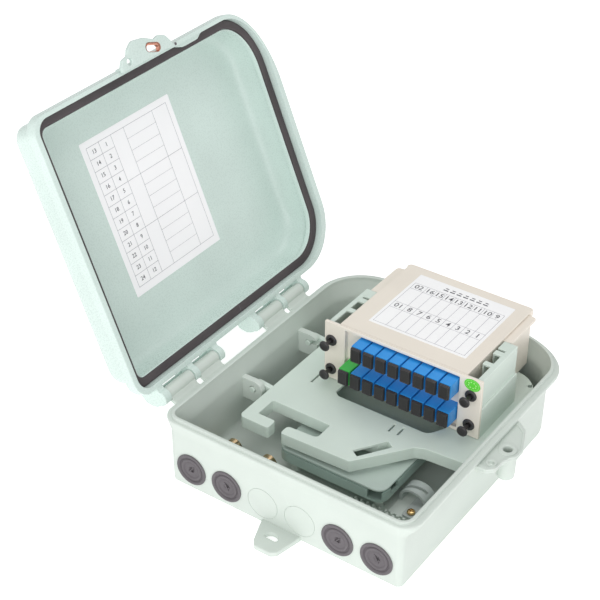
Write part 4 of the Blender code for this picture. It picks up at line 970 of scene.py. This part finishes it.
def make_cassette_label():
    """Paper table on the cassette with the port numbers."""
    x0, x1, y0, y1 = -22.0, 59.0, 26.0, 99.5
    top = 88.2
    sheet = plate("cassette_label", rounded(rect(x0, x1, y0, y1), 0.5, 3), [], top, top + 0.2,
                  0.07)
    on_cassette(sheet, PAPER)
    ink = top + 0.2
    lines = []
    left, right, near, far = x0 + 2.5, x1 - 2.5, y0 + 2.5, y1 - 12.0
    columns = [left, left + 11.0] + [left + 11.0 + (right - left - 11.0) * k / 8 for k in range(1, 9)]
    for y in (near, near + 22.0, near + 30.0, far - 8.0, far):
        lines.append(strip(left, y, right, y, 0.34, ink))
    for x in columns:
        lines.append(strip(x, near, x, far, 0.34, ink))
    on_cassette(mesh_object("cassette_label_lines", merged(lines)), PALE_INK)
    numbers = []
    for k in range(8):
        x = (columns[k + 1] + columns[k + 2]) / 2
        numbers.append(digits(str(8 - k), 7.2, (x, near + 25.8, ink + 0.02), 0.0))
        numbers.append(digits(str(16 - k), 7.2, (x, far - 4.2, ink + 0.02), 0.0))
    for text, y in (("01", near + 25.8), ("02", far - 4.2)):
        numbers.append(digits(text, 7.2, (left + 5.5, y, ink + 0.02), 0.0))
    for k in range(7):
        x = left + 24.0 + 5.6 * k
        numbers.append(block(x - 2.0, x + 2.0, far + 3.4, far + 4.6, ink, ink + 0.04))
        numbers.append(block(x - 1.2, x + 1.4, far + 6.0, far + 7.0, ink, ink + 0.04))
    on_cassette(mesh_object("cassette_label_numbers", merged(numbers)), INK)


def make_adapters():
    """SC adapters as hollow blocks open at the front, and their dust caps."""
    for node in sorted(frame["nodes"]):
        if not node.startswith("sc_adapter"):
            continue
        low, high = box_of(node)
        look, slot = (GREEN, "adapter_green") if node.endswith("input") else (BLUE, "adapter_blue")
        shell = mesh_object(node.replace("sc_adapter", "adapter"), block(low.x, high.x, low.y, high.y, low.z, high.z))
        carve(shell, block(low.x + 0.9, high.x - 0.9, low.y - 3.0, 13.0, low.z + 1.0, high.z - 1.0))
        dress(shell, look, "panel", slot, soft=0.35, stands_for=[node])
        cap = node.replace("sc_adapter", "sc_cap")
        c_low, c_high = box_of(cap)
        middle = (c_low + c_high) / 2
        face = -3.1
        plug = block(low.x + 1.3, high.x - 1.3, face - 0.4, c_high.y, low.z + 1.4, high.z - 1.4)
        grip = rounded(rect(c_low.x, c_high.x, c_low.z, c_high.z), 0.7, 4)
        inset = [(middle.x + (x - middle.x) * 0.90, middle.z + (z - middle.z) * 0.93) for x, z in grip]
        hollow = [(middle.x + (x - middle.x) * 0.74, middle.z + (z - middle.z) * 0.82) for x, z in grip]
        levels = ((grip, face), (grip, face - 1.3), (inset, face - 1.7), (inset, c_low.y), (hollow, c_low.y),
                  (hollow, c_low.y + 0.35))
        plate_bm = loft([[(x, y, z) for x, z in points] for points, y in levels])
        cover = mesh_object(cap.replace("sc_cap", "dust_cap"), merged([plug, plate_bm]))
        dress(cover, BLACK, cap.replace("sc_cap", "cap_body"), "black_plastic", soft=0.22, stands_for=[cap],
              segments=2)


def make_plungers():
    """Push fasteners: a flanged grommet on the cassette face and a mushroom plunger in it."""
    rings = [(-1.2, 2.1), (-1.5, 2.6), (-1.6, 3.2), (-1.4, 4.0), (-0.9, 4.5), (-0.1, 4.6), (-0.1, 2.8), (12.6, 2.45),
             (13.0, 2.1), (13.0, 1.8)]
    profile = [(-10.2, 0.3), (-10.3, 1.6), (-10.6, 2.6), (-10.5, 3.4), (-10.1, 3.9), (-9.4, 4.15), (-8.7, 4.0),
               (-8.3, 3.2), (-8.1, 1.9), (-7.8, 1.6), (-4.0, 1.5), (7.4, 1.45), (8.6, 0.8)]
    for k in (1, 2, 3, 4):
        centre = centre_of(f"plunger_{k}")
        spot = (centre.x, CASS_Y, centre.z)
        grommet = mesh_object(f"grommet_{k}", lathe(rings, spot, count=40, ring=True))
        dress(grommet, BLACK, "panel", "black_plastic", stands_for=[f"fastener_grommet_{k}"], sharp=45.0)
        pin = mesh_object(f"push_pin_{k}", lathe(profile, spot, count=40))
        dress(pin, BLACK, f"plunger_body_{k}", "black_plastic", stands_for=[f"plunger_{k}"], sharp=60.0)


def make_sticker():
    """Round green inspection sticker on the flange, with a pale ring and no text."""
    middle = (75.0, CASS_Y, 83.2)
    squash = Matrix.Translation(Vector(middle)) @ Matrix.Diagonal((1.0, 1.0, 0.78, 1.0))
    disc = lathe([(-0.16, 6.3), (-0.22, 6.1), (-0.22, 0.3), (-0.02, 0.3), (-0.02, 6.3)], (0.0, 0.0, 0.0), count=56)
    bmesh.ops.remove_doubles(disc, verts=disc.verts, dist=0.001)
    bmesh.ops.transform(disc, matrix=squash, verts=disc.verts)
    on_cassette(mesh_object("round_sticker", disc), STICKER)
    marks = []
    for count, radius, dot in ((8, 3.0, 0.6), (26, 5.1, 0.3)):
        for k in range(count):
            angle = 2 * math.pi * k / count + 0.3
            spot = (radius * math.cos(angle), 0.0, radius * math.sin(angle))
            marks.append(lathe([(-0.27, dot - 0.1), (-0.2, dot)], spot, count=16))
    marks = merged(marks)
    bmesh.ops.transform(marks, matrix=squash, verts=marks.verts)
    on_cassette(mesh_object("round_sticker_marks", marks), STICKER_PALE)


# ---- floor fittings


def make_tray():
    low, high = box_of("splice_tray")
    radii = [9.0, 10.0, 12.0, 12.0]

    def contour(grow):
        return rounded(rect(low.x, high.x, low.y, high.y, grow), [r + grow for r in radii], 10)

    tray = plate("fibre_tray", contour(0.0), [], low.z, high.z, 0.7)
    carve(tray, prism(contour(-1.8), low.z + 1.8, 30.0))
    carve(tray, block(38.4, 48.6, low.y - 3.0, low.y + 5.0, 16.6, 30.0))
    carve(tray, block(high.x - 5.0, high.x + 3.0, -55.0, -46.0, 18.0, 30.0))
    step_z, above = high.z - 0.75, high.z + 0.2
    step = [at(contour(1.0), step_z), at(contour(1.0), above), at(contour(-0.8), above), at(contour(-0.8), step_z)]
    carve(tray, loft(step, ring=True))
    carve(tray, block(low.x - 3.0, low.x + 5.0, -57.0, -51.0, 18.4, 30.0))
    dress(tray, TRAY, "base", "tray_plastic", stands_for=["splice_tray"])
    profile = [(15.4, 15.0), (21.2, 14.6), (21.4, 14.3), (21.4, 13.3), (21.2, 13.0), (15.6, 13.0)]
    for k, y in enumerate((-34.0, 40.0)):
        core = lathe(profile, (6.5, y, 0.0), "Z", 56, ring=True)
        dress(mesh_object(f"winding_core_{k + 1}", core), TRAY, "base", "tray_plastic")
    combs = [block(-15.7 + 7.2 * k, -14.3 + 7.2 * k, -9.0, 17.0, 15.2, 20.4) for k in range(7)]
    dress(mesh_object("splice_holder", merged(combs)), TRAY, "base", "tray_plastic", soft=0.25)
    c_low, c_high = box_of("splice_tray_cover")
    cover_plan = rect(c_low.x, c_high.x, c_low.y, c_high.y)
    cover = plate("fibre_tray_cover", rounded(cover_plan, [8.8, 9.8, 11.8, 11.8], 10), [], c_low.z, c_high.z, 0.6)
    dress(cover, FILM, "base", "tray_plastic", stands_for=["splice_tray_cover"])


def make_strap():
    low, high = box_of("cable_strap")
    screw = centre_of("strap_screw")
    middle = (low.x + high.x) / 2
    half = (high.x - low.x) / 2
    spring = 9.0
    far = high.y
    near = far - 12.8

    def arch(inset):
        rise = high.z - spring - inset
        turn = [math.pi * k / 40 for k in range(41)]
        curve = [(middle + (half - inset) * math.cos(a), spring + rise * math.sin(a)) for a in turn]
        return [(middle + half - inset, low.z)] + curve + [(middle - half + inset, low.z)]

    band = mesh_object("strap_band", prism(arch(0.0) + arch(1.9)[::-1], near, far, "Y"))
    slit = [(middle - 8.4, near + 2.6), (middle + 8.0, near + 5.6), (middle + 8.0, near + 8.2),
            (middle - 8.4, near + 5.2)]
    carve(band, prism(slit, spring + 1.0, 40.0, "Z"))
    dress(band, NYLON, "base", "strap_plastic", soft=0.45, stands_for=["cable_strap"])
    foot = rounded(rect(screw.x - 5.2, screw.x + 5.2, low.y, far - 0.4), [3.0, 3.0, 0.5, 0.5], 8)
    base = plate("strap_foot", foot, [circle(screw.x, screw.y, 1.9, 24)], low.z, low.z + 2.0, 0.4)
    dress(base, NYLON, "base", "strap_plastic")


def make_screw():
    low, high = box_of("strap_screw")
    centre = (low + high) / 2
    head = high.z - 1.9
    profile = [(low.z - head, 0.6), (low.z - head + 0.6, 1.5), (0.0, 1.5), (0.0, 2.9), (0.2, 3.0), (1.0, 3.0),
               (1.5, 2.7), (1.8, 2.2), (1.9, 1.0)]
    screw = mesh_object("brass_screw", lathe(profile, (centre.x, centre.y, head), "Z", 40))
    carve(screw, block(centre.x - 2.1, centre.x + 2.1, centre.y - 0.4, centre.y + 0.4, head + 1.0, head + 4.0),
          block(centre.x - 0.4, centre.x + 0.4, centre.y - 2.1, centre.y + 2.1, head + 1.0, head + 4.0))
    dress(screw, STEEL, "base", "screw_steel", soft=0.1, stands_for=["strap_screw"], segments=2)


def make_clamps():
    for k in (1, 2):
        node = f"cable_clamp_{k}"
        low, high = box_of(node)
        centre = (low + high) / 2
        turn = [math.pi * i / 32 for i in range(33)]
        over = [(centre.x + 6.2 * math.cos(a), 7.0 + 6.4 * math.sin(a)) for a in turn]
        under = [(centre.x + 5.0 * math.cos(a), 7.0 + 5.2 * math.sin(a)) for a in turn]
        profile = [(high.x, low.z), (high.x, low.z + 1.2)] + over + [(low.x, low.z + 1.2), (low.x, low.z)]
        profile += [(centre.x - 5.0, low.z)] + under[::-1] + [(centre.x + 5.0, low.z)]
        saddle = mesh_object(f"clamp_saddle_{k}", prism(profile, low.y, high.y, "Y"))
        dress(saddle, BRASS, "base", "brass", soft=0.25, stands_for=[node])
        for side in (-1.0, 1.0):
            spot = (centre.x + side * 9.0, centre.y, 6.7)
            head = mesh_object(f"clamp_screw_{k}_{'a' if side < 0 else 'b'}",
                               lathe([(-0.6, 2.1), (1.2, 2.2), (1.9, 1.8), (2.1, 0.9)], spot, "Z", 32))
            carve(head, block(spot[0] - 1.8, spot[0] + 1.8, spot[1] - 0.3, spot[1] + 0.3, 8.0, 10.0))
            dress(head, STEEL, "base", "brass", soft=0.08, segments=2)


# ---- stage, light and camera


def make_stage():
    bpy.ops.mesh.primitive_plane_add(size=6.0, location=(0.0, 0.0, -0.0004))
    floor = bpy.context.object
    floor.name = "studio_floor"
    mat = bpy.data.materials.new("studio_white")
    mat.use_nodes = True
    shader = mat.node_tree.nodes["Principled BSDF"]
    shader.inputs["Base Color"].default_value = (0.92, 0.92, 0.92, 1.0)
    shader.inputs["Roughness"].default_value = 0.9
    shader.inputs["Specular IOR Level"].default_value = 0.1
    shader.inputs["Emission Color"].default_value = (1.0, 1.0, 1.0, 1.0)
    shader.inputs["Emission Strength"].default_value = 0.46
    floor.data.materials.append(mat)
    world = bpy.data.worlds.new("studio")
    world.use_nodes = True
    sky = world.node_tree.nodes["Background"]
    sky.inputs["Color"].default_value = (1.0, 1.0, 1.0, 1.0)
    sky.inputs["Strength"].default_value = 0.52
    bpy.context.scene.world = world
    bpy.context.scene.view_settings.view_transform = "Standard"


def softbox(name, place, aim, size, power, tint=(1.0, 1.0, 1.0)):
    data = bpy.data.lights.new(name, "AREA")
    data.shape = "RECTANGLE"
    data.size = size[0]
    data.size_y = size[1]
    data.energy = power
    data.color = tint
    lamp = bpy.data.objects.new(name, data)
    lamp.location = place
    lamp.rotation_euler = (Vector(aim) - Vector(place)).to_track_quat("-Z", "Y").to_euler()
    bpy.context.scene.collection.objects.link(lamp)


def make_lights():
    middle = (0.0, 0.0, 0.05)
    softbox("key", (0.3, -1.5, 0.8), middle, (1.4, 0.9), 10.0)
    softbox("side", (1.3, -0.9, 0.55), middle, (0.9, 0.9), 4.5)
    softbox("fill", (-1.3, -0.7, 0.9), middle, (1.0, 1.0), 2.0)
    softbox("top", (0.0, 0.4, 1.7), middle, (1.2, 1.2), 7.5)


def make_camera():
    data = bpy.data.cameras.new("camera")
    data.sensor_width = 36.0
    data.lens = 89.79
    data.clip_start = 0.01
    camera = bpy.data.objects.new("camera", data)
    right = Vector((0.81854, 0.57444, 0.00046))
    up = Vector((-0.32501, 0.46246, 0.82493))
    back = Vector((0.47366, -0.67539, 0.56524))
    turn = Matrix((right, up, back)).transposed().to_4x4()
    camera.matrix_world = Matrix.Translation(Vector((0.4472, -0.7297, 0.7147))) @ turn
    bpy.context.scene.collection.objects.link(camera)
    bpy.context.scene.camera = camera


make_base()
make_plugs()
make_lid()
make_panel()
make_cassette()
make_sticker()
make_tray()
make_strap()
make_screw()
make_clamps()
make_stage()
make_lights()
make_camera()
